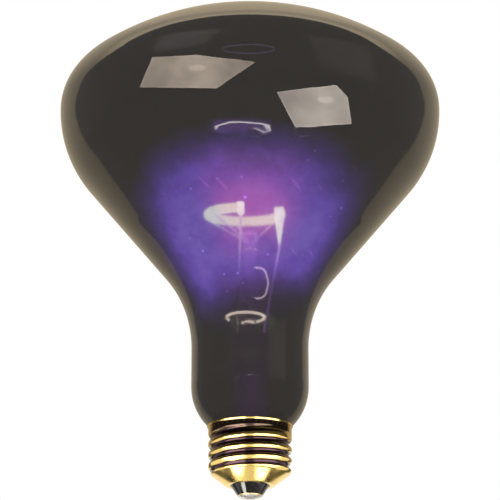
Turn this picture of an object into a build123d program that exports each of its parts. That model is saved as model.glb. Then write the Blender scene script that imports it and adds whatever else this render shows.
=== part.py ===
from build123d import *
import math
import os

os.makedirs("parts", exist_ok=True)

# Millimetres. The origin is the tip of the centre contact, and +Z runs along the lamp's axis to the dome.

# Screw cap, a medium Edison screw rolled from sheet
thread_pitch = 25.4 / 7
crest_radius = 13.15
thread_depth = 1.1
fade_turns = 0.4
plain_band = 2.45
sheet = 0.25
cap_height = 23.9
rim_lip = 0.45
rim_flare = 0.7
cap_floor = 4.6
floor_radius = 7.6
floor_bend = 0.9
cap_cone_angle = 53.5
crest_bend = 2.2
notch_depth = 1.5
notch_room = 0.1
notch_width = 0.6
bead_radius = 1.9
bead_inset = 0.6

# Chords of the thread section, as angles on its arcs, and how far its cutter runs past the crest
root_step = 16.0
land_step = 12.0
chord_run = 0.15
cutter_margin = 0.6
fade_overlap = 0.03

# Cap insulator, eyelet, solder and cement
solder_height = 1.0
solder_plug = 1.2
plate_thickness = 0.3
plate_radius = 4.05
eyelet_bore = 1.2
eyelet_wall = 0.3
eyelet_length = 1.6
insulator_radius = 6.3
insulator_room = 0.2
recess_radius = 9.0
recess_depth = 1.4
cement_gap = 0.06
cement_foot = 0.8
cement_flange = 0.9

# Blown glass envelope: tangent arcs from the cap up to the dome
glass_wall = 0.9
cement_room = 1.53
foot_length = 4.8
foot_arc = 4.0
shoulder_arc = 18.0
neck_radius = 19.0
neck_length = 12.5
neck_arc = 40.0
cone_angle = 39.5
head_radius = 63.5
lower_rim_arc = 38.0
upper_rim_arc = 16.0
dome_arc = 93.0

# Stem: flared tube pressed flat at its top, with the pump tube below and the arbor above
flare_wall = 0.9
flare_radius = 6.0
flare_seat_gap = 0.1
flare_height = 25.0
press_taper = 6.0
press_height = 9.0
press_width = 13.6
press_thickness = 4.8
press_corner = 1.6
press_round = 0.9
exhaust_radius = 2.2
exhaust_wall = 0.75
exhaust_length = 24.0
vent_radius = 0.8
vent_rise = 3.0
arbor_radius = 2.0
button_radius = 2.4
button_height = 6.0
button_round = 1.1

# Leads and the wires sealed in the press
side_lead_offset = 4.6
front_lead_offset = 4.0
lead_radius = 0.4
lead_stub = 1.2
lead_rest = 3.0
lead_bend = 6.0
seal_wire_radius = 0.3
outer_lead_radius = 0.25
outer_lead_bend = 1.2
outer_lead_dip = 1.5
side_lead_angle = 62.0
bead_cover = 0.7

# Filament, its clamps and its support wires
filament_drop = 35.5
filament_shift = -1.8
filament_ring = 11.9
filament_radius = 1.2
filament_tilt_angle = 8.0
filament_start = -15.0
filament_sweep = 278.0
side_clamp_length = 12.5
front_clamp_length = 4.5
clamp_head = 3.2
clamp_width = 3.0
clamp_depth = 2.2
clamp_bite = 0.9
support_angles = (40.0, 101.0, 160.0, 218.0)
support_radius = 0.2
support_drop = 9.5
support_seat = 1.0
hook_gap = 0.08
hook_wrap = 200.0

# Wire loop set in the arbor's side
loop_top = 22.8
loop_height = 10.6
loop_reach = 6.1
loop_bend = 2.6

# Open getter ring, welded inside the side lead
getter_rise = 5.6
getter_shift = -1.45
getter_wire_radius = 0.45
getter_weld = 0.12
getter_gap_angle = 52.0
getter_gap_turn = 128.0

# Thread section: crest and root arcs of one radius that meet halfway down the flank
thread_arc = (thread_depth**2 + thread_pitch**2 / 4) / (4 * thread_depth)
flank_angle = math.degrees(math.asin(thread_pitch / (4 * thread_arc)))
root_radius = crest_radius - thread_depth
rim_radius = crest_radius + rim_lip
plug_radius = crest_radius - thread_arc * (1 - math.cos(math.radians(land_step)))
first_crest = cap_floor + (plug_radius - floor_radius) / math.tan(math.radians(cap_cone_angle))
first_root = first_crest - thread_pitch / 2
thread_turns = (cap_height - plain_band - first_root) / thread_pitch - fade_turns
fade_cone = math.degrees(math.atan2(thread_depth + sheet, thread_pitch * fade_turns))

# Envelope levels, from the cap's rim upwards
shoulder_x = neck_radius - shoulder_arc
shoulder_z = cap_height + math.sqrt(shoulder_arc**2 - (rim_radius - sheet - shoulder_x) ** 2)
foot_radius = root_radius - sheet - cement_room
foot_x = foot_radius + foot_arc
shoulder_turn = math.degrees(math.acos((foot_x - shoulder_x) / (shoulder_arc + foot_arc)))
foot_z = shoulder_z - (shoulder_arc + foot_arc) * math.sin(math.radians(shoulder_turn))
seal_z = foot_z - foot_length
neck_z = shoulder_z + neck_length
lean = math.radians(cone_angle)
lower_x = head_radius - lower_rim_arc
cone_width = lower_x + (lower_rim_arc + neck_arc) * math.cos(lean) - neck_radius - neck_arc
widest_z = neck_z + (neck_arc + lower_rim_arc) * math.sin(lean) + cone_width / math.tan(lean)
upper_x = head_radius - upper_rim_arc
dome_angle = math.degrees(math.asin(upper_x / (dome_arc - upper_rim_arc)))
dome_z = widest_z - (dome_arc - upper_rim_arc) * math.cos(math.radians(dome_angle))

# Stem and mount levels
rim_bottom = seal_z - flare_wall
hollow_top = seal_z + flare_height
press_top = hollow_top + press_taper + press_height
filament_z = widest_z - filament_drop
support_z = filament_z - support_drop
getter_z = press_top + getter_rise
insulator_width = root_radius - sheet - insulator_room - floor_radius
insulator_top = cap_floor + insulator_width / math.tan(math.radians(cap_cone_angle))
plate_top = solder_height + plate_thickness
notch_z = cap_height - notch_depth


def arc_point(center, radius, angle):
    """Point of an arc, from its centre, its radius and an angle in degrees."""
    turn = math.radians(angle)
    return (center[0] + radius * math.cos(turn), center[1] + radius * math.sin(turn))


def bulb_side(inset):
    """Half profile of the envelope from the seal up to the apex, moved in by inset. Returns its two ends."""
    dome = CenterArc((0, dome_z), dome_arc - inset, 90 - dome_angle, dome_angle)
    CenterArc((upper_x, widest_z), upper_rim_arc - inset, 0, 90 - dome_angle)
    lower = CenterArc((lower_x, widest_z), lower_rim_arc - inset, -cone_angle, cone_angle)
    neck = CenterArc((neck_radius + neck_arc, neck_z), neck_arc + inset, 180 - cone_angle, cone_angle)
    Line(lower @ 0, neck @ 0)
    shoulder = CenterArc((shoulder_x, shoulder_z), shoulder_arc - inset, -shoulder_turn, shoulder_turn)
    Line(neck @ 1, shoulder @ 1)
    foot = CenterArc((foot_x, foot_z), foot_arc + inset, 180 - shoulder_turn, shoulder_turn)
    edge = Line(foot @ 1, (foot_radius - inset, seal_z))
    return edge @ 1, dome @ 1


def groove_cutter(inset, start_z, start_turn, turns, cone=0.0):
    """Sweep of one thread groove along its helix.

    Its section has chords of the root arc and of both crest arcs. The root arc grows and the crest
    arcs shrink by inset, so two grooves of different inset leave an even wall between them.
    """
    root_center = (root_radius + thread_arc, 0)
    crest_center = (crest_radius - thread_arc, thread_pitch / 2)
    flat = arc_point(root_center, thread_arc + inset, 180 - root_step)
    flank = arc_point(root_center, thread_arc + inset, 180 - flank_angle)
    land = arc_point(crest_center, thread_arc - inset, -land_step)
    past = (land[0] + (land[0] - flank[0]) * chord_run, land[1] + (land[1] - flank[1]) * chord_run)
    side = [(r - crest_radius, z) for r, z in (flat, flank, past)]
    side.append((cutter_margin, side[-1][1]))
    outline = side + [(r, -z) for r, z in reversed(side)]
    with BuildPart() as groove:
        with BuildLine() as helix:
            Helix(thread_pitch, thread_pitch * turns, crest_radius, cone_angle=cone)
        path = helix.line.moved(Location((0, 0, start_z), (0, 0, 360 * start_turn)))
        outward = Vector(1, 0, 0).rotate(Axis.Z, 360 * start_turn)
        with BuildSketch(Plane(origin=path @ 0, x_dir=outward, z_dir=path % 0)):
            with BuildLine():
                Polyline(*outline, close=True)
            make_face()
        sweep(path=path, is_frenet=True)
    return groove


def cap_blank(inset):
    """Cap's outer form before it is threaded, moved in by inset: floor, cone, plain wall and flared rim."""
    slope = math.radians(cap_cone_angle)
    floor = (floor_radius - inset * math.tan((math.pi / 2 - slope) / 2), cap_floor + inset)
    crest = (plug_radius - inset, first_crest + inset * math.tan(slope / 2))
    band = (plug_radius - inset, cap_height - rim_flare)
    rim = (rim_radius - inset, cap_height)
    with BuildPart() as blank:
        with BuildSketch(Plane.XZ):
            with BuildLine():
                FilletPolyline((0, floor[1]), floor, crest, band, radius=[floor_bend - inset, crest_bend - inset])
                Polyline(band, rim, (0, cap_height), (0, floor[1]))
            make_face()
        revolve(axis=Axis.Z)
    return blank


def cap_plug(inset):
    """Threaded cap form: the groove runs at full depth, then fades into the plain band below the rim."""
    fade_start = thread_turns - fade_overlap
    with BuildPart() as plug:
        add(cap_blank(inset).part)
        full = groove_cutter(inset, first_root, 0, thread_turns)
        add(full.part, mode=Mode.SUBTRACT)
        fade = groove_cutter(inset, first_root + thread_pitch * fade_start, fade_start, fade_turns, fade_cone)
        add(fade.part, mode=Mode.SUBTRACT)
    return plug


def round_wire(points, radius, bend):
    """Wire of straight runs joined by tangent arcs."""
    with BuildPart() as wire:
        with BuildLine() as route:
            FilletPolyline(*points, radius=bend)
        with BuildSketch(Plane(origin=route.line @ 0, z_dir=route.line % 0)):
            Circle(radius)
        sweep()
    return wire


def ring_point(angle):
    """Point of the filament's centre line, and the line's direction there."""
    turn = math.radians(angle)
    spot = filament_plane.from_local_coords((filament_ring * math.cos(turn), filament_ring * math.sin(turn), 0))
    ahead = filament_plane.x_dir * -math.sin(turn) + filament_plane.y_dir * math.cos(turn)
    return spot, ahead


def clamp_foot(angle, ahead_sign, length):
    """Lower end of the clamp that grips the filament's end at angle, beyond that end by all but the bite."""
    spot, ahead = ring_point(angle)
    center = spot + ahead * ahead_sign * (clamp_depth / 2 - clamp_bite)
    return Vector(center.X, center.Y, spot.Z + clamp_head / 2 - length)


def lead_clamp(foot, angle, length):
    """Lead's end swaged from round to a flat head, which closes round the coil."""
    _, ahead = ring_point(angle)
    across = Vector(ahead.Y, -ahead.X, 0)
    head = Plane(origin=foot + Vector(0, 0, length - clamp_head), x_dir=across, z_dir=(0, 0, 1))
    with BuildPart() as clamp:
        with BuildSketch(Plane(origin=foot, x_dir=across, z_dir=(0, 0, 1))):
            Circle(lead_radius)
        with BuildSketch(head):
            RectangleRounded(clamp_width, clamp_depth, lead_radius)
        loft()
        with BuildSketch(head):
            RectangleRounded(clamp_width, clamp_depth, lead_radius)
        extrude(amount=clamp_head)
        add(filament.part, mode=Mode.SUBTRACT)
    return clamp


def support_wire(angle):
    """Straight wire from inside the arbor's button, ending in an open hook under and round the coil."""
    spot, _ = ring_point(angle)
    reach = math.hypot(spot.X, spot.Y)
    radial = Plane(origin=(0, 0, 0), x_dir=(spot.X, spot.Y, 0), z_dir=(spot.Y, -spot.X, 0))
    hook = filament_radius + hook_gap + support_radius
    span = math.hypot(reach - support_seat, spot.Z - support_z)
    rise = math.degrees(math.atan2(spot.Z - support_z, reach - support_seat) - math.asin(hook / span))
    with BuildPart() as wire:
        with BuildLine(radial) as route:
            bend = CenterArc((reach, spot.Z), hook, rise - 90, hook_wrap)
            Line((support_seat, support_z), arc_point((reach, spot.Z), hook, rise - 90))
        start = radial.from_local_coords((support_seat, support_z, 0))
        with BuildSketch(Plane(origin=start, z_dir=bend % 0)):
            Circle(support_radius)
        sweep()
    return wire


# Filament: an open ring of coil, shown by the coil's outside
tilt = math.radians(filament_tilt_angle)
filament_plane = Plane(
    origin=(filament_shift, 0, filament_z), x_dir=(1, 0, 0), z_dir=(0, -math.sin(tilt), math.cos(tilt))
)
with BuildPart() as filament:
    with BuildLine(filament_plane) as ring:
        CenterArc((0, 0), filament_ring, filament_start, filament_sweep)
    with BuildSketch(Plane(origin=ring.line @ 0, z_dir=ring.line % 0)):
        Circle(filament_radius)
    sweep()
filament.part.label = "filament"

# Clamps at the two ends of the coil
side_foot = clamp_foot(filament_start, -1, side_clamp_length)
lead_clamp_side = lead_clamp(side_foot, filament_start, side_clamp_length)
lead_clamp_side.part.label = "lead_clamp_side"

front_angle = filament_start + filament_sweep
front_foot = clamp_foot(front_angle, 1, front_clamp_length)
lead_clamp_front = lead_clamp(front_foot, front_angle, front_clamp_length)
lead_clamp_front.part.label = "lead_clamp_front"

# Inner leads from the press to the clamps
lead_side = round_wire(
    [
        (side_lead_offset, 0, press_top),
        (side_lead_offset, 0, press_top + lead_stub),
        side_foot - Vector(0, 0, lead_stub),
        side_foot,
    ],
    lead_radius,
    lead_bend,
)
lead_side.part.label = "lead_side"

lead_front = round_wire(
    [
        (-front_lead_offset, 0, press_top),
        (-front_lead_offset, 0, getter_z + lead_rest),
        front_foot - Vector(0, 0, lead_rest),
        front_foot,
    ],
    lead_radius,
    lead_bend,
)
lead_front.part.label = "lead_front"

# Wires sealed through the press
with BuildPart() as seal_wire_side:
    with BuildSketch(Plane.XY.offset(hollow_top)):
        with Locations((side_lead_offset, 0)):
            Circle(seal_wire_radius)
    extrude(amount=press_top - hollow_top)
seal_wire_side.part.label = "seal_wire_side"

with BuildPart() as seal_wire_front:
    with BuildSketch(Plane.XY.offset(hollow_top)):
        with Locations((-front_lead_offset, 0)):
            Circle(seal_wire_radius)
    extrude(amount=press_top - hollow_top)
seal_wire_front.part.label = "seal_wire_front"

# Outer lead to the cap's rim: under the seal, up between glass and cap, and out through the rim's notch
side_turn = Vector(1, 0, 0).rotate(Axis.Z, side_lead_angle)
side_way = (foot_radius + root_radius - sheet) / 2
side_low = Vector(0, 0, rim_bottom - outer_lead_dip)
side_exit = Vector(0, 0, notch_z + notch_room + outer_lead_radius)
outer_lead_side = round_wire(
    [
        (side_lead_offset, 0, hollow_top),
        (side_lead_offset, 0, side_low.Z),
        side_turn * side_way + side_low,
        side_turn * side_way + Vector(0, 0, foot_z),
        side_turn * (crest_radius - sheet - outer_lead_radius) + side_exit,
        side_turn * (crest_radius + bead_cover) + side_exit,
    ],
    outer_lead_radius,
    [outer_lead_bend, outer_lead_bend, outer_lead_bend, outer_lead_bend / 2],
)
outer_lead_side.part.label = "outer_lead_side"

# Outer lead to the centre contact, down through the insulator and the eyelet
outer_lead_contact = round_wire(
    [
        (-front_lead_offset, 0, hollow_top),
        (-front_lead_offset, 0, rim_bottom - outer_lead_dip),
        (0, 0, insulator_top + outer_lead_dip),
        (0, 0, solder_height / 2),
    ],
    outer_lead_radius,
    outer_lead_bend,
)
outer_lead_contact.part.label = "outer_lead_contact"

# Support wires round the ring
supports = []
for number, angle in enumerate(support_angles, start=1):
    wire = support_wire(angle)
    wire.part.label = f"support_wire_{number}"
    supports.append(wire)

# Loop in the arbor's side
tie_loop = round_wire(
    [
        (arbor_radius / 2, 0, press_top + loop_top),
        (loop_reach - loop_bend / 2, 0, press_top + loop_top),
        (loop_reach, 0, press_top + loop_top - loop_height / 2),
        (loop_reach - loop_bend / 2, 0, press_top + loop_top - loop_height),
        (arbor_radius / 2, 0, press_top + loop_top - loop_height),
    ],
    outer_lead_radius,
    [loop_bend, loop_bend * 2, loop_bend],
)
tie_loop.part.label = "tie_loop"

# Glass arbor with its button, cut to fit the wires set in it
with BuildPart() as arbor_rod:
    with BuildSketch(Plane.XY.offset(press_top)):
        Circle(arbor_radius)
    extrude(amount=support_z - press_top)
    with BuildSketch(Plane.XY.offset(support_z - button_height / 2)):
        Circle(button_radius)
    extrude(amount=button_height)
    fillet(edges().filter_by(GeomType.CIRCLE).filter_by(lambda e: e.radius == button_radius), radius=button_round / 3)
    for wire in supports:
        add(wire.part, mode=Mode.SUBTRACT)
    add(tie_loop.part, mode=Mode.SUBTRACT)
arbor_rod.part.label = "arbor_rod"

# Pump tube, sealed off below
with BuildPart() as exhaust_tube:
    with BuildSketch(Plane.XZ):
        with BuildLine():
            tip_z = hollow_top - exhaust_length
            bore = exhaust_radius - exhaust_wall
            tip = CenterArc((0, tip_z + exhaust_radius), exhaust_radius, -90, 90)
            well = CenterArc((0, tip_z + exhaust_radius), bore, -90, 90)
            Line(tip @ 0, well @ 0)
            Polyline(tip @ 1, (exhaust_radius, hollow_top), (bore, hollow_top), well @ 1)
        make_face()
    revolve(axis=Axis.Z)
exhaust_tube.part.label = "exhaust_tube"

# Flare tube and press, one piece of glass
flare_arc = foot_radius - glass_wall - flare_seat_gap - flare_radius
with BuildPart() as stem_flare:
    with BuildSketch(Plane.XZ):
        with BuildLine():
            curve_x = flare_radius + flare_arc
            outer_curve = CenterArc((curve_x, seal_z + flare_arc), flare_arc, 180, 90)
            inner_curve = CenterArc((curve_x, seal_z + flare_arc), flare_arc + flare_wall, 180, 90)
            Polyline(outer_curve @ 1, (foot_radius, seal_z), (foot_radius, rim_bottom), inner_curve @ 1)
            Polyline(
                outer_curve @ 0, (flare_radius, hollow_top), (flare_radius - flare_wall, hollow_top), inner_curve @ 0
            )
        make_face()
    revolve(axis=Axis.Z)
    with BuildSketch(Plane.XY.offset(hollow_top)):
        Circle(flare_radius)
    with BuildSketch(Plane.XY.offset(hollow_top + press_taper)):
        RectangleRounded(press_width, press_thickness, press_corner)
    loft()
    with BuildSketch(Plane.XY.offset(hollow_top + press_taper)):
        RectangleRounded(press_width, press_thickness, press_corner)
    extrude(amount=press_height)
    fillet(faces().sort_by(Axis.Z)[-1].edges(), radius=press_round)
    with BuildSketch(Plane.XY.offset(hollow_top)):
        Circle(vent_radius)
    extrude(amount=vent_rise, mode=Mode.SUBTRACT)
    with BuildSketch(Plane.XZ.offset(-flare_radius)):
        with Locations((0, hollow_top + vent_rise)):
            Circle(vent_radius)
    extrude(amount=flare_radius, mode=Mode.SUBTRACT)
    add(seal_wire_side.part, mode=Mode.SUBTRACT)
    add(seal_wire_front.part, mode=Mode.SUBTRACT)
stem_flare.part.label = "stem_flare"

# Getter ring: an open ring of wire whose outside bites into the side lead
lead_low = Vector(side_lead_offset, 0, press_top + lead_stub)
lead_high = side_foot - Vector(0, 0, lead_stub)
lead_spot = lead_low + (lead_high - lead_low) * ((getter_z - lead_low.Z) / (lead_high.Z - lead_low.Z))
getter_reach = math.hypot(lead_spot.X - getter_shift, lead_spot.Y)
getter_radius = getter_reach - lead_radius - getter_wire_radius + getter_weld
with BuildPart() as getter_ring:
    with BuildLine(Plane.XY.offset(getter_z)) as ring_line:
        CenterArc(
            (getter_shift, 0), getter_radius, getter_gap_turn + getter_gap_angle / 2, 360 - getter_gap_angle
        )
    with BuildSketch(Plane(origin=ring_line.line @ 0, z_dir=ring_line.line % 0)):
        Circle(getter_wire_radius)
    sweep()
    add(lead_side.part, mode=Mode.SUBTRACT)
getter_ring.part.label = "getter_ring"

# Blown envelope, one even wall, open at the seal
with BuildPart() as glass_envelope:
    with BuildSketch(Plane.XZ):
        with BuildLine():
            outer_seal, outer_apex = bulb_side(0)
            inner_seal, inner_apex = bulb_side(glass_wall)
            Line(outer_seal, inner_seal)
            Line(outer_apex, inner_apex)
        make_face()
    revolve(axis=Axis.Z)
glass_envelope.part.label = "glass_envelope"

with BuildPart() as bulb_core:
    with BuildSketch(Plane.XZ):
        with BuildLine():
            core_seal, core_apex = bulb_side(0)
            Polyline(core_seal, (0, seal_z), core_apex)
        make_face()
    revolve(axis=Axis.Z)

# Screw shell: the threaded form outside, the same form moved in by the sheet inside
outer_plug = cap_plug(0)
inner_plug = cap_plug(sheet)
with BuildPart() as screw_shell:
    add(outer_plug.part)
    add(inner_plug.part, mode=Mode.SUBTRACT)
    with BuildSketch(Plane.XY.offset(cap_floor)):
        Circle(insulator_radius)
    extrude(amount=sheet, mode=Mode.SUBTRACT)
    with BuildSketch(Plane(origin=(0, 0, notch_z), x_dir=side_turn, z_dir=(0, 0, 1))):
        Rectangle(rim_radius * 2, notch_width, align=(Align.MIN, Align.CENTER))
    extrude(amount=notch_depth, mode=Mode.SUBTRACT)
screw_shell.part.label = "screw_shell"

# Solder bead over the notch
with BuildPart() as side_solder:
    with Locations(side_turn * (crest_radius - bead_inset) + Vector(0, 0, cap_height - bead_radius)):
        Sphere(bead_radius)
    add(outer_plug.part, mode=Mode.SUBTRACT)
    add(outer_lead_side.part, mode=Mode.SUBTRACT)
side_solder.part.label = "side_solder"

# Black glass insulator moulded into the cap's floor
with BuildPart() as base_insulator:
    add(cap_blank(sheet).part)
    split(bisect_by=Plane.XY.offset(insulator_top), keep=Keep.BOTTOM)
    with BuildSketch(Plane.XZ):
        with BuildLine():
            Polyline(
                (0, plate_top),
                (plate_radius, plate_top),
                (insulator_radius, cap_floor),
                (insulator_radius, cap_floor + sheet),
                (0, cap_floor + sheet),
                close=True,
            )
        make_face()
    revolve(axis=Axis.Z)
    with Locations((0, 0, insulator_top)):
        Cone(
            eyelet_bore + eyelet_wall,
            recess_radius,
            recess_depth,
            align=(Align.CENTER, Align.CENTER, Align.MAX),
            mode=Mode.SUBTRACT,
        )
    with BuildSketch(Plane.XY.offset(plate_top)):
        Circle(eyelet_bore + eyelet_wall)
    extrude(amount=insulator_top - plate_top, mode=Mode.SUBTRACT)
base_insulator.part.label = "base_insulator"

# Brass eyelet: plate and short tube in one
with BuildPart() as centre_contact:
    with BuildSketch(Plane.XY.offset(solder_height)):
        Circle(plate_radius)
    extrude(amount=plate_thickness)
    with BuildSketch(Plane.XY.offset(plate_top)):
        Circle(eyelet_bore + eyelet_wall)
    extrude(amount=eyelet_length)
    with BuildSketch(Plane.XY.offset(solder_height)):
        Circle(eyelet_bore)
    extrude(amount=plate_thickness + eyelet_length, mode=Mode.SUBTRACT)
centre_contact.part.label = "centre_contact"

# Solder dome on the plate, with its plug in the eyelet
with BuildPart() as contact_solder:
    with BuildSketch(Plane.XZ):
        with BuildLine():
            dome_radius = (plate_radius**2 + solder_height**2) / (2 * solder_height)
            cap_turn = math.degrees(math.asin(plate_radius / dome_radius))
            CenterArc((0, dome_radius), dome_radius, -90, cap_turn)
            Polyline(
                (plate_radius, solder_height),
                (eyelet_bore, solder_height),
                (eyelet_bore, solder_height + solder_plug),
                (0, solder_height + solder_plug),
                (0, 0),
            )
        make_face()
    revolve(axis=Axis.Z)
    add(outer_lead_contact.part, mode=Mode.SUBTRACT)
contact_solder.part.label = "contact_solder"

# Cement ring between the cap and the glass
with BuildPart() as basing_cement:
    with BuildSketch(Plane.XZ):
        with BuildLine():
            flange_top = cap_height - rim_flare
            Polyline(
                (foot_radius / 2, seal_z + cement_foot),
                (root_radius - sheet - cement_gap, seal_z + cement_foot),
                (root_radius - sheet - cement_gap, flange_top - cement_flange),
                (plug_radius - sheet, flange_top - cement_flange),
                (plug_radius - sheet, flange_top),
                (foot_radius / 2, flange_top),
                close=True,
            )
        make_face()
    revolve(axis=Axis.Z)
    add(bulb_core.part, mode=Mode.SUBTRACT)
    add(screw_shell.part, mode=Mode.SUBTRACT)
    add(outer_lead_side.part, mode=Mode.SUBTRACT)
basing_cement.part.label = "basing_cement"

pieces = [
    glass_envelope,
    screw_shell,
    base_insulator,
    centre_contact,
    contact_solder,
    side_solder,
    basing_cement,
    stem_flare,
    exhaust_tube,
    arbor_rod,
    seal_wire_side,
    seal_wire_front,
    outer_lead_side,
    outer_lead_contact,
    lead_side,
    lead_front,
    lead_clamp_side,
    lead_clamp_front,
    filament,
    tie_loop,
    getter_ring,
] + supports
for piece in pieces:
    export_step(piece.part, f"parts/{piece.part.label}.step")
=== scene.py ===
"""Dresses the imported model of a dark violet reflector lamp: blown glass, rolled brass cap, lit coil and its mount.

Sizes in the dataclasses are millimetres unless a comment says otherwise; meshes are made in metres.
"""

import logging
import math
from dataclasses import dataclass
from enum import Enum

import bmesh
import bpy
from mathutils import Euler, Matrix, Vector
from mathutils.bvhtree import BVHTree
from mathutils.interpolate import poly_3d_calc


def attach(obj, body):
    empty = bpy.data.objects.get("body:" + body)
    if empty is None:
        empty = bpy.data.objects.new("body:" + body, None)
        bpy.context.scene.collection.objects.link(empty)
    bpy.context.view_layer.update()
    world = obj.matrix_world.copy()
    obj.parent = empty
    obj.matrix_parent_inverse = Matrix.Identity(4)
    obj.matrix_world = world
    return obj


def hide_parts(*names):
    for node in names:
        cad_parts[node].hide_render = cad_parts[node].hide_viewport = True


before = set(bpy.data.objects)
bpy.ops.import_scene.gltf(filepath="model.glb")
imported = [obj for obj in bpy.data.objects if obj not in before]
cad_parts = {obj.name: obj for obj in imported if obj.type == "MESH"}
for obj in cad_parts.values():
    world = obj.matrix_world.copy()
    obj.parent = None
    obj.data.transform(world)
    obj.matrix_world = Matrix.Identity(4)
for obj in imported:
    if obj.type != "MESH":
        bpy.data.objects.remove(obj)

MM = 0.001
BODY = "root"
LOG = logging.getLogger("lamp")


class Side(Enum):
    """Which wall of the blown glass a profile follows."""

    OUTER = 0.0
    INNER = 1.0


class Board:
    """Adds and links the nodes of one tree."""

    def __init__(self, tree: bpy.types.NodeTree) -> None:
        """Keeps the tree.

        Args:
            tree: Shader or geometry tree that the nodes go into.
        """
        self.tree = tree

    def feed(self, socket: bpy.types.NodeSocket, value: object) -> None:
        """Links value to the socket if it is a socket itself, and otherwise sets it.

        Args:
            socket: Input to feed.
            value: Output socket, number, colour, vector or material.
        """
        if isinstance(value, bpy.types.NodeSocket):
            self.tree.links.new(value, socket)
        else:
            socket.default_value = value

    def node(self, kind: str, inputs: dict | None = None, **settings: object) -> bpy.types.Node:
        """Adds a node.

        Args:
            kind: Node type name.
            inputs: Values by input name or number.
            **settings: Properties of the node itself.

        Returns:
            The new node.
        """
        made = self.tree.nodes.new(kind)
        for key, value in settings.items():
            setattr(made, key, value)
        for key, value in (inputs or {}).items():
            self.feed(made.inputs[key], value)
        return made

    def math(self, operation: str, *values: object, clamp: bool = False) -> bpy.types.NodeSocket:
        """Adds a Math node.

        Args:
            operation: Its operation.
            *values: Its inputs in order.
            clamp: Whether the result is kept from 0 to 1.

        Returns:
            Its output.
        """
        made = self.node("ShaderNodeMath", dict(enumerate(values)), operation=operation, use_clamp=clamp)
        return made.outputs[0]

    def vector(self, operation: str, *values: object) -> bpy.types.NodeSocket:
        """Adds a Vector Math node.

        Args:
            operation: Its operation.
            *values: Its inputs in order.

        Returns:
            Its vector, or its value where the operation gives one.
        """
        made = self.node("ShaderNodeVectorMath", dict(enumerate(values)), operation=operation)
        return made.outputs["Value" if operation in ("LENGTH", "DISTANCE", "DOT_PRODUCT") else "Vector"]

    def step(self, value: object, low: float, high: float, start: float = 0.0, end: float = 1.0) -> bpy.types.NodeSocket:
        """Adds a smooth step.

        Args:
            value: Value to map.
            low: Value that gives start.
            high: Value that gives end.
            start: Result at and before low.
            end: Result at and past high.

        Returns:
            The mapped value.
        """
        made = self.node("ShaderNodeMapRange", interpolation_type="SMOOTHSTEP")
        for key, item in zip(("Value", "From Min", "From Max", "To Min", "To Max"), (value, low, high, start, end)):
            self.feed(made.inputs[key], item)
        return made.outputs["Result"]

    def blend(self, factor: object, first: object, second: object, mode: str = "MIX") -> bpy.types.NodeSocket:
        """Adds a colour Mix.

        Args:
            factor: Share of the second colour.
            first: First colour.
            second: Second colour.
            mode: Blend mode.

        Returns:
            The mixed colour.
        """
        made = self.node("ShaderNodeMix", data_type="RGBA", blend_type=mode)
        self.feed(made.inputs[0], factor)
        self.feed(made.inputs[6], first)
        self.feed(made.inputs[7], second)
        return made.outputs[2]

    def ramp(self, factor: object, stops: list[tuple[float, tuple[float, float, float]]]) -> bpy.types.NodeSocket:
        """Adds a colour ramp.

        Args:
            factor: Value that picks the colour.
            stops: Positions and colours in order.

        Returns:
            The ramp's colour.
        """
        made = self.node("ShaderNodeValToRGB", {0: factor})
        elements = made.color_ramp.elements
        while len(elements) < len(stops):
            elements.new(1.0)
        for element, (position, color) in zip(elements, stops):
            element.position = position
            element.color = (*color, 1.0)
        return made.outputs["Color"]

    def noise(self, vector: object, scale: float, detail: float = 2.0, roughness: float = 0.5) -> bpy.types.NodeSocket:
        """Adds a noise texture.

        Args:
            vector: Place to read it at.
            scale: Its scale, per metre on Object coordinates.
            detail: Its octaves.
            roughness: Weight of its finer octaves.

        Returns:
            The noise's value.
        """
        made = self.node("ShaderNodeTexNoise", {"Vector": vector, "Scale": scale, "Detail": detail, "Roughness": roughness})
        return made.outputs[0]


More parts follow.
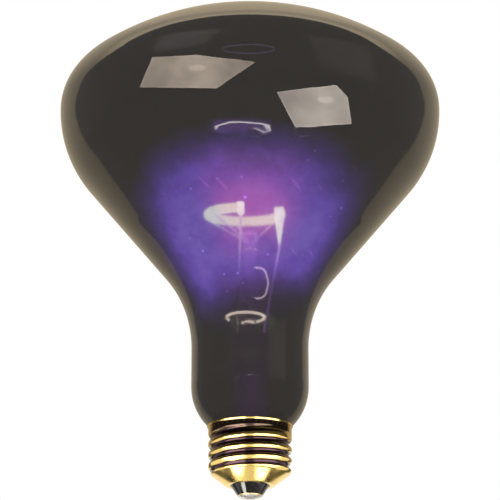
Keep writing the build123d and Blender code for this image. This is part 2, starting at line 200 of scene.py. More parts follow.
class SharedEffects:
    """Shader groups that more than one finish uses. Each is built once."""

    def __init__(self) -> None:
        """Builds the groups."""
        self.wear = self._wear()
        self.glow = self._glow()

    @staticmethod
    def _sockets(tree: bpy.types.NodeTree, inputs: dict, outputs: dict) -> None:
        """Gives a group its named sockets.

        Args:
            tree: The group.
            inputs: Socket kind and starting value by name.
            outputs: Socket kind by name.
        """
        for name, (kind, value) in inputs.items():
            tree.interface.new_socket(name, in_out="INPUT", socket_type=kind).default_value = value
        for name, kind in outputs.items():
            tree.interface.new_socket(name, in_out="OUTPUT", socket_type=kind)

    def _wear(self) -> bpy.types.NodeTree:
        """Fine scratches and cloudy handling marks.

        Returns:
            The group, with the outputs Mask, Cloud and Height.
        """
        tree = bpy.data.node_groups.new("handling_wear", "ShaderNodeTree")
        self._sockets(
            tree,
            {"Scale": ("NodeSocketFloat", 300.0), "Amount": ("NodeSocketFloat", 0.5)},
            {"Mask": "NodeSocketFloat", "Cloud": "NodeSocketFloat", "Height": "NodeSocketFloat"},
        )
        board = Board(tree)
        entry, leave = board.node("NodeGroupInput"), board.node("NodeGroupOutput")
        place = board.node("ShaderNodeTexCoord").outputs["Object"]
        scale, amount = entry.outputs["Scale"], entry.outputs["Amount"]
        long_way = board.node("ShaderNodeMapping", {"Vector": place, "Rotation": (0.5, 0.2, 0.9), "Scale": (1.0, 9.0, 2.5)})
        scratch = board.noise(long_way.outputs[0], 1.0, 3.0, 0.65)
        board.feed(scratch.node.inputs["Scale"], scale)
        mask = board.math("MULTIPLY", board.step(scratch, 0.62, 0.72), amount)
        cloud = board.noise(place, 1.0, 4.0, 0.6)
        board.feed(cloud.node.inputs["Scale"], board.math("MULTIPLY", scale, 0.4))
        board.feed(leave.inputs["Mask"], mask)
        board.feed(leave.inputs["Cloud"], board.step(cloud, 0.35, 0.7))
        board.feed(leave.inputs["Height"], board.math("SUBTRACT", board.math("MULTIPLY", cloud, 0.3), mask))
        return tree

    def _glow(self) -> bpy.types.NodeTree:
        """Light that the lit coil throws on what is near it, by the distance from the coil's ring.

        Returns:
            The group, with the outputs Color and Level.
        """
        tree = bpy.data.node_groups.new("coil_light", "ShaderNodeTree")
        self._sockets(
            tree,
            {
                "Centre": ("NodeSocketVector", (0.0, 0.0, 0.096)),
                "Ring Radius": ("NodeSocketFloat", 0.012),
                "Near": ("NodeSocketFloat", 0.003),
                "Far": ("NodeSocketFloat", 0.040),
                "Near Color": ("NodeSocketColor", (1.0, 0.9, 0.8, 1.0)),
                "Far Color": ("NodeSocketColor", (0.2, 0.05, 0.5, 1.0)),
            },
            {"Color": "NodeSocketColor", "Level": "NodeSocketFloat"},
        )
        board = Board(tree)
        entry, leave = board.node("NodeGroupInput"), board.node("NodeGroupOutput")
        place = board.node("ShaderNodeTexCoord").outputs["Object"]
        away = board.vector("SUBTRACT", place, entry.outputs["Centre"])
        parts = board.node("ShaderNodeSeparateXYZ", {0: away})
        flat = board.math("SQRT", board.math("ADD", board.math("POWER", parts.outputs[0], 2.0), board.math("POWER", parts.outputs[1], 2.0)))
        aside = board.math("SUBTRACT", flat, entry.outputs["Ring Radius"])
        far = board.math("SQRT", board.math("ADD", board.math("POWER", aside, 2.0), board.math("POWER", parts.outputs[2], 2.0)))
        share = board.step(far, 0.0, 1.0, 1.0, 0.0)
        board.feed(share.node.inputs["From Min"], entry.outputs["Near"])
        board.feed(share.node.inputs["From Max"], entry.outputs["Far"])
        level = board.math("POWER", share, 2.2)
        color = board.blend(level, entry.outputs["Far Color"], entry.outputs["Near Color"])
        board.feed(leave.inputs["Color"], color)
        board.feed(leave.inputs["Level"], level)
        return tree


@dataclass(frozen=True)
class Finish:
    """What every finish has: a name and a Principled shader to build on."""

    name: str

    def start(self) -> tuple[bpy.types.Material, Board, bpy.types.Node]:
        """Makes the material and finds its shader.

        Returns:
            The material, a board on its tree and its Principled node.
        """
        material = bpy.data.materials.new(self.name)
        material.use_nodes = True
        material.node_tree.nodes.clear()
        board = Board(material.node_tree)
        shader = board.node("ShaderNodeBsdfPrincipled")
        board.node("ShaderNodeOutputMaterial", {"Surface": shader.outputs[0]})
        return material, board, shader


@dataclass(frozen=True)
class MetalFinish(Finish):
    """Drawn, rolled or soldered metal with handling marks and tarnish; where asked, with the coil's light painted on as
    emission and dark reflections painted into the grooves.
    """

    color: tuple[float, float, float] = (0.8, 0.8, 0.8)
    tarnish: tuple[float, float, float] = (0.3, 0.3, 0.3)
    roughness: float = 0.25
    spread: float = 0.15
    wear_scale: float = 300.0
    wear_amount: float = 0.5
    bump: float = 0.05
    # Strength, colours, reach and even floor of the coil's light, painted on as emission.
    lit: float = 0.0
    near_color: tuple[float, float, float] = (1.0, 0.9, 0.8)
    far_color: tuple[float, float, float] = (0.2, 0.05, 0.5)
    reach: float = 0.040
    floor_light: float = 0.0
    # Radii and colour of the dark reflection painted into the grooves, partly tarnish.
    groove: tuple[float, float] | None = None
    groove_shade_color: tuple[float, float, float] = (0.06, 0.035, 0.045)

    def build(self, effects: SharedEffects) -> bpy.types.Material:
        """Makes the material.

        Args:
            effects: The shared groups.

        Returns:
            The material.
        """
        material, board, shader = self.start()
        wear = board.node("ShaderNodeGroup", node_tree=effects.wear)
        board.feed(wear.inputs["Scale"], self.wear_scale)
        board.feed(wear.inputs["Amount"], self.wear_amount)
        dull = board.math("MULTIPLY", wear.outputs["Cloud"], self.wear_amount)
        tone = board.blend(dull, (*self.color, 1.0), (*self.tarnish, 1.0))
        # Painted dark reflection, partly tarnish, darkens the grooves, flanks that face up and the front of the plain
        # band.
        if self.groove:
            tone = board.blend(self._painted_groove_shade(board, wear), tone, (*self.groove_shade_color, 1.0))
        board.feed(shader.inputs["Base Color"], tone)
        board.feed(shader.inputs["Metallic"], 1.0)
        rough = board.math("ADD", board.math("MULTIPLY", wear.outputs["Cloud"], self.spread), self.roughness)
        board.feed(shader.inputs["Roughness"], board.math("ADD", rough, board.math("MULTIPLY", wear.outputs["Mask"], 0.2)))
        bump = board.node("ShaderNodeBump", {"Strength": self.bump, "Distance": 0.0002, "Height": wear.outputs["Height"]})
        board.feed(shader.inputs["Normal"], bump.outputs[0])
        # Emission paints the coil's light onto the metal, brightest near the coil's ring, with floor_light as an even
        # painted glow.
        if self.lit:
            glow = board.node("ShaderNodeGroup", node_tree=effects.glow)
            board.feed(glow.inputs["Near Color"], (*self.near_color, 1.0))
            board.feed(glow.inputs["Far Color"], (*self.far_color, 1.0))
            board.feed(glow.inputs["Far"], self.reach)
            gain = board.math("ADD", glow.outputs["Level"], self.floor_light)
            dim = board.math("MULTIPLY", gain, board.math("SUBTRACT", 1.0, board.math("MULTIPLY", wear.outputs["Cloud"], 0.4)))
            board.feed(shader.inputs["Emission Color"], board.vector("SCALE", glow.outputs["Color"]))
            scaled = shader.inputs["Emission Color"].links[0].from_node
            board.feed(scaled.inputs["Scale"], dim)
            board.feed(shader.inputs["Emission Strength"], self.lit)
            material.cycles.emission_sampling = "NONE"
        return material

    def _painted_groove_shade(self, board: Board, wear: bpy.types.Node) -> bpy.types.NodeSocket:
        """Share of dark reflection painted into the grooves, on flanks that face up and on the front of the plain band,
        partly standing for tarnish.

        Args:
            board: The material's board.
            wear: The wear group's node.

        Returns:
            1 deep in a groove and on a flank that faces up, high on the plain band's front but for its punch marks, and
            0 on its crests, on the cone and on the rim.
        """
        parts = board.node("ShaderNodeSeparateXYZ", {0: board.node("ShaderNodeTexCoord").outputs["Object"]})
        flat = board.node("ShaderNodeCombineXYZ", {0: parts.outputs[0], 1: parts.outputs[1]})
        radius = board.vector("LENGTH", flat.outputs[0])
        radius = board.math("ADD", radius, board.math("MULTIPLY", wear.outputs["Cloud"], 0.00006))
        low, high = self.groove
        deep = board.step(radius, low, high, 1.0, 0.0)
        # Flanks that face up get the painted dark reflection as well.
        facing = board.node("ShaderNodeSeparateXYZ", {0: board.node("ShaderNodeNewGeometry").outputs["True Normal"]})
        deep = board.math("MAXIMUM", deep, board.step(facing.outputs[2], -0.02, 0.30))
        above = board.step(parts.outputs[2], 0.0082, 0.0089)
        below = board.step(parts.outputs[2], 0.0232, 0.0233, 1.0, 0.0)
        # The plain band is painted dark at its front as a reflection, and much less towards its sides.
        turn = board.math("ARCTAN2", parts.outputs[0], board.math("MULTIPLY", parts.outputs[1], -1.0))
        front = board.step(board.math("ABSOLUTE", turn), 1.10, 1.35, 0.94, 0.15)
        plain = board.math("MULTIPLY", board.step(parts.outputs[2], 0.0205, 0.0210), front)
        # Punch marks leave bright brass in a row across the painted dark band.
        punched = board.step(board.math("COSINE", board.math("MULTIPLY", turn, 44.0)), 0.55, 0.85)
        row = board.step(board.math("ABSOLUTE", board.math("SUBTRACT", parts.outputs[2], 0.02255)), 0.00012, 0.00026, 0.6, 0.0)
        plain = board.math("MULTIPLY", plain, board.math("SUBTRACT", 1.0, board.math("MULTIPLY", punched, row)))
        sunk = board.math("MAXIMUM", board.math("MULTIPLY", deep, above), plain)
        return board.math("MULTIPLY", sunk, below)


@dataclass(frozen=True)
class MattFinish(Finish):
    """Cement or another dull mineral surface."""

    color: tuple[float, float, float] = (0.55, 0.47, 0.34)
    dark: tuple[float, float, float] = (0.30, 0.24, 0.16)
    roughness: float = 0.8

    def build(self, effects: SharedEffects) -> bpy.types.Material:
        """Makes the material.

        Args:
            effects: The shared groups.

        Returns:
            The material.
        """
        material, board, shader = self.start()
        wear = board.node("ShaderNodeGroup", node_tree=effects.wear)
        board.feed(wear.inputs["Scale"], 900.0)
        place = board.node("ShaderNodeTexCoord").outputs["Object"]
        grain = board.noise(place, 3000.0, 3.0)
        board.feed(shader.inputs["Base Color"], board.blend(board.step(grain, 0.4, 0.65), (*self.color, 1.0), (*self.dark, 1.0)))
        board.feed(shader.inputs["Roughness"], board.step(wear.outputs["Cloud"], 0.0, 1.0, self.roughness, 0.95))
        bump = board.node("ShaderNodeBump", {"Strength": 0.4, "Distance": 0.0002, "Height": grain})
        board.feed(shader.inputs["Normal"], bump.outputs[0])
        return material


@dataclass(frozen=True)
class EnamelFinish(Finish):
    """Black glass moulded into the cap: glossy, with fine pits and dust."""

    color: tuple[float, float, float] = (0.012, 0.011, 0.012)
    dust: tuple[float, float, float] = (0.05, 0.045, 0.04)

    def build(self, effects: SharedEffects) -> bpy.types.Material:
        """Makes the material.

        Args:
            effects: The shared groups.

        Returns:
            The material.
        """
        material, board, shader = self.start()
        wear = board.node("ShaderNodeGroup", node_tree=effects.wear)
        board.feed(wear.inputs["Scale"], 500.0)
        board.feed(wear.inputs["Amount"], 0.5)
        board.feed(shader.inputs["Base Color"], board.blend(wear.outputs["Mask"], (*self.color, 1.0), (*self.dust, 1.0)))
        board.feed(shader.inputs["Roughness"], board.step(wear.outputs["Cloud"], 0.0, 1.0, 0.07, 0.2))
        board.feed(shader.inputs["IOR"], 1.55)
        place = board.node("ShaderNodeTexCoord").outputs["Object"]
        bump = board.node("ShaderNodeBump", {"Strength": 0.15, "Distance": 0.0003, "Height": board.noise(place, 450.0, 3.0)})
        board.feed(shader.inputs["Normal"], bump.outputs[0])
        return material


@dataclass(frozen=True)
class ClearGlassFinish(Finish):
    """Clear glass of the stem, lit by the coil."""

    color: tuple[float, float, float] = (0.93, 0.92, 0.95)
    near_color: tuple[float, float, float] = (0.75, 0.85, 1.0)
    far_color: tuple[float, float, float] = (0.30, 0.06, 0.60)
    lit: float = 1.2

    def build(self, effects: SharedEffects) -> bpy.types.Material:
        """Makes the material.

        Args:
            effects: The shared groups.

        Returns:
            The material.
        """
        material, board, shader = self.start()
        wear = board.node("ShaderNodeGroup", node_tree=effects.wear)
        board.feed(wear.inputs["Scale"], 260.0)
        board.feed(shader.inputs["Base Color"], (*self.color, 1.0))
        board.feed(shader.inputs["Transmission Weight"], 1.0)
        board.feed(shader.inputs["IOR"], 1.5)
        board.feed(shader.inputs["Roughness"], board.step(wear.outputs["Cloud"], 0.0, 1.0, 0.03, 0.12))
        bump = board.node("ShaderNodeBump", {"Strength": 0.2, "Distance": 0.0003, "Height": wear.outputs["Cloud"]})
        board.feed(shader.inputs["Normal"], bump.outputs[0])
        glow = board.node("ShaderNodeGroup", node_tree=effects.glow)
        board.feed(glow.inputs["Near Color"], (*self.near_color, 1.0))
        board.feed(glow.inputs["Far Color"], (*self.far_color, 1.0))
        board.feed(glow.inputs["Far"], 0.045)
        share = board.math("ADD", glow.outputs["Level"], 0.06)
        scaled = board.node("ShaderNodeVectorMath", {0: glow.outputs["Color"], "Scale": share}, operation="SCALE")
        board.feed(shader.inputs["Emission Color"], scaled.outputs[0])
        board.feed(shader.inputs["Emission Strength"], self.lit)
        material.cycles.emission_sampling = "NONE"
        return material


@dataclass(frozen=True)
class HotCoilFinish(Finish):
    """Glowing tungsten."""

    color: tuple[float, float, float] = (0.74, 1.0, 0.34)
    strength: float = 6.2

    def build(self, effects: SharedEffects) -> bpy.types.Material:
        """Makes the material.

        Args:
            effects: The shared groups; not used here.

        Returns:
            The material.
        """
        material, board, shader = self.start()
        board.feed(shader.inputs["Base Color"], (0.02, 0.02, 0.02, 1.0))
        board.feed(shader.inputs["Roughness"], 0.9)
        board.feed(shader.inputs["Specular IOR Level"], 0.0)
        board.feed(shader.inputs["Emission Color"], (*self.color, 1.0))
        board.feed(shader.inputs["Emission Strength"], self.strength)
        return material


@dataclass(frozen=True)
class DarkGlassFinish(Finish):
    """Deep violet blown glass: nearly black, with the coil's violet light held in the cone's wall."""

    tint: tuple[float, float, float] = (0.085, 0.078, 0.085)
    # Faint even glow painted into the whole wall as emission.
    painted_glow: tuple[float, float, float] = (0.0172, 0.0162, 0.0125)
    lobes: float = 2.0
    glow_low: tuple[float, float] = (0.058, 0.074)
    glow_high: tuple[float, float] = (0.086, 0.110)
    glow_round: float = 0.0060
    glow_sides: tuple[float, float] = (-0.82, 0.34)
    core_low: tuple[float, float] = (0.066, 0.084)
    core_high: tuple[float, float] = (0.086, 0.104)
    core_sides: tuple[float, float] = (0.45, 1.12)
    level: float = 1.0
    inner_roughness: float = 0.13

    def build(self, effects: SharedEffects) -> bpy.types.Material:
        """Makes the material.

        Args:
            effects: The shared groups.

        Returns:
            The material.
        """
        material, board, shader = self.start()
        place = board.node("ShaderNodeTexCoord").outputs["Object"]
        wear = board.node("ShaderNodeGroup", node_tree=effects.wear)
        board.feed(wear.inputs["Scale"], 70.0)
        board.feed(wear.inputs["Amount"], 0.4)
        board.feed(shader.inputs["Base Color"], (*self.tint, 1.0))
        board.feed(shader.inputs["Transmission Weight"], 1.0)
        board.feed(shader.inputs["IOR"], 1.5)
        inside = board.node("ShaderNodeAttribute", attribute_name="inner_wall").outputs["Fac"]
        outer_finish = board.step(wear.outputs["Mask"], 0.0, 1.0, 0.015, 0.12)
        board.feed(shader.inputs["Roughness"], board.math("MAXIMUM", outer_finish, board.math("MULTIPLY", inside, self.inner_roughness)))
        wave = board.noise(place, 45.0, 2.0)
        bump = board.node("ShaderNodeBump", {"Strength": 0.12, "Distance": 0.0006, "Height": wave})
        board.feed(shader.inputs["Normal"], bump.outputs[0])
        board.feed(shader.inputs["Emission Color"], self._light(board, place))
        board.feed(shader.inputs["Emission Strength"], self.level)
        material.cycles.emission_sampling = "NONE"
        return material

    def _light(self, board: Board, place: bpy.types.NodeSocket) -> bpy.types.NodeSocket:
        """Colour of the light held in the wall.

        Args:
            board: The material's board.
            place: Object coordinates.

        Returns:
            The colour, over a faint even glow painted into the whole wall.
        """
        drift = board.noise(place, 38.0, 3.0, 0.6)
        spread = board.math("MULTIPLY", board.math("SUBTRACT", drift, 0.5), 0.016)
        parts = board.node("ShaderNodeSeparateXYZ", {0: place})
        turn = board.math("ARCTAN2", parts.outputs[0], board.math("MULTIPLY", parts.outputs[1], -1.0))
        lobe = board.math("COSINE", board.math("MULTIPLY", turn, self.lobes))
        lobe = board.math("ADD", lobe, board.math("MULTIPLY", spread, 36.0))
        height = board.math("ADD", parts.outputs[2], spread)
        rise = board.step(board.math("SUBTRACT", height, board.math("MULTIPLY", parts.outputs[0], 0.20)), *self.glow_low)
        arch = board.math("ADD", height, board.math("MULTIPLY", board.math("SUBTRACT", 1.0, lobe), self.glow_round))
        fall = board.step(arch, *self.glow_high, 1.0, 0.0)
        sides = board.step(lobe, *self.glow_sides)
        painted_glow = board.math("MULTIPLY", board.math("MULTIPLY", rise, fall), sides)
        core_rise = board.step(height, *self.core_low)
        core_fall = board.step(height, *self.core_high, 1.0, 0.0)
        core_sides = board.step(lobe, *self.core_sides)
        core = board.math("MULTIPLY", board.math("MULTIPLY", core_rise, core_fall), core_sides)
        cloud = board.noise(place, 120.0, 4.0, 0.7)
        mottled = board.math("MULTIPLY", painted_glow, board.step(cloud, 0.25, 0.75, 0.70, 1.08))
        violet = board.ramp(mottled, [(0.0, (0.0, 0.0, 0.0)), (0.30, (0.022, 0.009, 0.090)), (0.65, (0.060, 0.028, 0.225)), (1.0, (0.092, 0.051, 0.276))])
        warm = board.ramp(core, [(0.0, (0.0, 0.0, 0.0)), (0.5, (0.055, 0.006, 0.018)), (1.0, (0.190, 0.022, 0.050))])
        light = board.blend(1.0, violet, warm, "ADD")
        # Bright glints painted as emission in a few spots of the glow.
        glint_cells = board.node("ShaderNodeTexVoronoi", {"Vector": place, "Scale": 210.0, "Randomness": 1.0})
        dots = board.math("MULTIPLY", board.step(glint_cells.outputs["Distance"], 0.05, 0.15, 1.0, 0.0), painted_glow)
        pick = board.step(board.noise(place, 90.0, 1.0), 0.54, 0.64)
        dots = board.math("MULTIPLY", dots, pick)
        light = board.blend(dots, light, (0.20, 0.11, 0.46, 1.0), "ADD")
        # Faint light painted along slanted streaks in the glow.
        slanted = board.node("ShaderNodeMapping", {"Vector": place, "Rotation": (0.0, -0.80, 0.0), "Scale": (0.11, 0.5, 1.0)}, vector_type="TEXTURE")
        lit_streak_cells = board.node("ShaderNodeTexVoronoi", {"Vector": slanted.outputs[0], "Scale": 42.0, "Randomness": 1.0})
        lit_streaks = board.math("MULTIPLY", board.step(lit_streak_cells.outputs["Distance"], 0.10, 0.22, 1.0, 0.0), painted_glow)
        lit_streaks = board.math("MULTIPLY", lit_streaks, board.step(board.noise(place, 70.0, 1.0), 0.55, 0.62))
        light = board.blend(lit_streaks, light, (0.07, 0.02, 0.07, 1.0), "ADD")
        # A faint even painted glow lies under all the rest.
        return board.blend(1.0, light, (*self.painted_glow, 1.0), "ADD")


def mesh_object(name: str, points: list, faces: list, smooth: bool = True) -> bpy.types.Object:
    """Makes an object at the origin from points and faces.

    Args:
        name: Name of the piece.
        points: Vertices in metres.
        faces: Vertex numbers of each face.
        smooth: Whether its faces are shaded smooth.

    Returns:
        The linked object.
    """
    mesh = bpy.data.meshes.new(name)
    mesh.from_pydata(points, [], faces)
    mesh.update()
    mesh.polygons.foreach_set("use_smooth", [smooth] * len(mesh.polygons))
    made = bpy.data.objects.new(name, mesh)
    bpy.context.scene.collection.objects.link(made)
    return made


def lathe(name: str, profile: list[tuple[float, float]], segments: int, closed: bool = True) -> bpy.types.Object:
    """Turns a profile round the lamp's axis.

    Args:
        name: Name of the piece.
        profile: Radii and heights in millimetres, with radius 0 for a pole.
        segments: Steps round the axis.
        closed: Whether the last point joins the first.

    Returns:
        The turned object.
    """
    rings: list[list[int]] = []
    points: list[tuple[float, float, float]] = []
    for radius, height in profile:
        if radius < 1e-6:
            rings.append([len(points)])
            points.append((0.0, 0.0, height * MM))
            continue
        first = len(points)
        rings.append(list(range(first, first + segments)))
        for number in range(segments):
            turn = math.tau * number / segments
            points.append((radius * math.cos(turn) * MM, radius * math.sin(turn) * MM, height * MM))
    pairs = list(zip(rings, rings[1:] + rings[:1])) if closed else list(zip(rings, rings[1:]))
    faces = []
    for lower, upper in pairs:
        if len(lower) == 1 and len(upper) == 1:
            continue
        for number in range(segments):
            after = (number + 1) % segments
            corners = [lower[number % len(lower)], lower[after % len(lower)], upper[after % len(upper)], upper[number % len(upper)]]
            faces.append(list(dict.fromkeys(corners)))
    made = mesh_object(name, points, faces)
    build = bmesh.new()
    build.from_mesh(made.data)
    bmesh.ops.recalc_face_normals(build, faces=build.faces)
    build.to_mesh(made.data)
    build.free()
    return made


def arc(center: tuple[float, float], radius: float, start: float, end: float, step: float) -> list[tuple[float, float]]:
    """Samples an arc.

    Args:
        center: Its centre, as radius and height.
        radius: Its radius.
        start: First angle in degrees.
        end: Last angle in degrees.
        step: Longest distance between two points.

    Returns:
        Its points, ends included.
    """
    count = max(2, math.ceil(abs(math.radians(end - start)) * radius / step))
    turns = [math.radians(start + (end - start) * number / count) for number in range(count + 1)]
    return [(center[0] + radius * math.cos(turn), center[1] + radius * math.sin(turn)) for turn in turns]


def settle(made: bpy.types.Object, replaced: str, material: bpy.types.Material) -> None:
    """Puts a finished piece on the body in place of its CAD node.

    Args:
        made: The piece.
        replaced: Name of the node.
        material: Its finish.
    """
    if not made.data.materials:
        made.data.materials.append(material)
    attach(made, BODY)
    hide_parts(replaced)
    LOG.info("piece %s stands for %s with %d faces", made.name, replaced, len(made.data.polygons))


def dress(node: str, material: bpy.types.Material) -> None:
    """Gives a CAD node a finish.

    Args:
        node: Name of the node.
        material: Its finish.
    """
    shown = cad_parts[node]
    for place in shown.material_slots:
        place.material = material
    LOG.info("node %s dressed with %s", node, material.name)


def harden(made: bpy.types.Object) -> bpy.types.Object:
    """Turns an object with modifiers into a plain mesh object of the same name.

    Args:
        made: Object with its modifiers.

    Returns:
        The plain object.
    """
    name = made.name
    bpy.context.view_layer.update()
    graph = bpy.context.evaluated_depsgraph_get()
    mesh = bpy.data.meshes.new_from_object(made.evaluated_get(graph))
    bpy.data.objects.remove(made)
    mesh.name = name
    plain = bpy.data.objects.new(name, mesh)
    bpy.context.scene.collection.objects.link(plain)
    return plain


def run_tree(made: bpy.types.Object, tree: bpy.types.NodeTree, values: dict[str, object]) -> bpy.types.Object:
    """Runs a geometry tree on an object and keeps the result as a plain mesh.

    Args:
        made: Object that the tree starts from.
        tree: The geometry tree.
        values: Inputs by name.

    Returns:
        The plain object.
    """
    modifier = made.modifiers.new(tree.name, "NODES")
    modifier.node_group = tree
    for item in tree.interface.items_tree:
        if item.in_out == "INPUT" and item.name in values:
            modifier[item.identifier] = values[item.name]
    return harden(made)


def geometry_tree(name: str, inputs: dict[str, tuple[str, object]]) -> tuple[bpy.types.NodeTree, Board, bpy.types.Node]:
    """Starts a geometry tree with named inputs.

    Args:
        name: Its name.
        inputs: Socket kind and starting value by name, after the geometry itself.

    Returns:
        The tree, its board and its input node.
    """
    tree = bpy.data.node_groups.new(name, "GeometryNodeTree")
    tree.interface.new_socket("Geometry", in_out="INPUT", socket_type="NodeSocketGeometry")
    for label, (kind, value) in inputs.items():
        socket = tree.interface.new_socket(label, in_out="INPUT", socket_type=kind)
        if value is not None:
            socket.default_value = value
    tree.interface.new_socket("Geometry", in_out="OUTPUT", socket_type="NodeSocketGeometry")
    board = Board(tree)
    return tree, board, board.node("NodeGroupInput")


def close_tree(board: Board, shape: bpy.types.NodeSocket, material: bpy.types.NodeSocket) -> None:
    """Ends a geometry tree in Realize Instances and Set Material.

    Args:
        board: The tree's board.
        shape: Geometry so far.
        material: Socket with the finish.
    """
    real = board.node("GeometryNodeRealizeInstances", {0: shape})
    dressed = board.node("GeometryNodeSetMaterial", {"Geometry": real.outputs[0], "Material": material})
    board.node("NodeGroupOutput", {0: dressed.outputs[0]})


@dataclass
class Envelope:
    """Blown glass bulb: dome, rim, cone, neck and the foot that goes into the cap."""

    wall: float = 0.9
    foot_radius: float = 10.27
    foot_length: float = 4.8
    foot_arc: float = 4.0
    shoulder_arc: float = 18.0
    shoulder_z: float = 36.995
    neck_radius: float = 19.0
    neck_length: float = 12.5
    neck_arc: float = 40.0
    cone_angle: float = 39.5
    head_radius: float = 63.5
    lower_rim_arc: float = 38.0
    upper_rim_arc: float = 16.0
    dome_arc: float = 93.0
    segments: int = 256

    def profile(self, side: Side, step: float) -> list[tuple[float, float]]:
        """Half profile from the foot up to the apex.

        Args:
            side: Outer or inner wall.
            step: Longest distance between two points.

        Returns:
            Radii and heights.
        """
        inset = self.wall * side.value
        lean = math.radians(self.cone_angle)
        neck_z = self.shoulder_z + self.neck_length
        lower_x = self.head_radius - self.lower_rim_arc
        width = lower_x + (self.lower_rim_arc + self.neck_arc) * math.cos(lean) - self.neck_radius - self.neck_arc
        widest = neck_z + (self.neck_arc + self.lower_rim_arc) * math.sin(lean) + width / math.tan(lean)
        upper_x = self.head_radius - self.upper_rim_arc
        dome_turn = math.degrees(math.asin(upper_x / (self.dome_arc - self.upper_rim_arc)))
        dome_z = widest - (self.dome_arc - self.upper_rim_arc) * math.cos(math.radians(dome_turn))
        shoulder_x = self.neck_radius - self.shoulder_arc
        foot_x = self.foot_radius + self.foot_arc
        turn = math.degrees(math.acos((foot_x - shoulder_x) / (self.shoulder_arc + self.foot_arc)))
        foot_z = self.shoulder_z - (self.shoulder_arc + self.foot_arc) * math.sin(math.radians(turn))
        points = [(self.foot_radius - inset, foot_z - self.foot_length)]
        points += arc((foot_x, foot_z), self.foot_arc + inset, 180, 180 - turn, step)
        points += arc((shoulder_x, self.shoulder_z), self.shoulder_arc - inset, -turn, 0, step)[1:]
        neck_center = (self.neck_radius + self.neck_arc, neck_z)
        waist = arc(neck_center, self.neck_arc + inset, 180, 180 - self.cone_angle, step)
        points += self.run(points[-1], waist[0], step) + waist
        rim = arc((lower_x, widest), self.lower_rim_arc - inset, -self.cone_angle, 0, step)
        points += self.run(points[-1], rim[0], step) + rim
        points += arc((upper_x, widest), self.upper_rim_arc - inset, 0, 90 - dome_turn, step)[1:]
        points += arc((0, dome_z), self.dome_arc - inset, 90 - dome_turn, 90, step)[1:-1]
        return points + [(0.0, dome_z + self.dome_arc - inset)]

    @staticmethod
    def run(start: tuple[float, float], end: tuple[float, float], step: float) -> list[tuple[float, float]]:
        """Points strictly between two ends of a straight run.

        Args:
            start: First end.
            end: Last end.
            step: Longest distance between two points.

        Returns:
            The points between.
        """
        count = max(1, math.ceil(math.dist(start, end) / step))
        return [
            (start[0] + (end[0] - start[0]) * n / count, start[1] + (end[1] - start[1]) * n / count) for n in range(1, count)
        ]

    def build(self, material: bpy.types.Material) -> bpy.types.Object:
        """Makes the bulb as one closed wall.

        Args:
            material: Its finish.

        Returns:
            The bulb.
        """
        outer = self.profile(Side.OUTER, 1.25)
        inner = self.profile(Side.INNER, 2.0)
        skin = self.join(outer, inner)
        settle(skin, "glass_envelope", material)
        side = skin.data.attributes.new("inner_wall", "FLOAT", "FACE")
        for face in skin.data.polygons:
            core = Vector((0.0, 0.0, min(face.center.z, 0.10)))
            side.data[face.index].value = 1.0 if face.normal.dot(face.center - core) < 0.0 else 0.0
        return skin

    def join(self, outer: list[tuple[float, float]], inner: list[tuple[float, float]]) -> bpy.types.Object:
        """Turns both walls and joins them at the foot.

        Args:
            outer: Outer profile from the foot up.
            inner: Inner profile from the foot up.

        Returns:
            The bulb.
        """
        return lathe("bulb_glass", list(reversed(outer)) + inner, self.segments, closed=False)


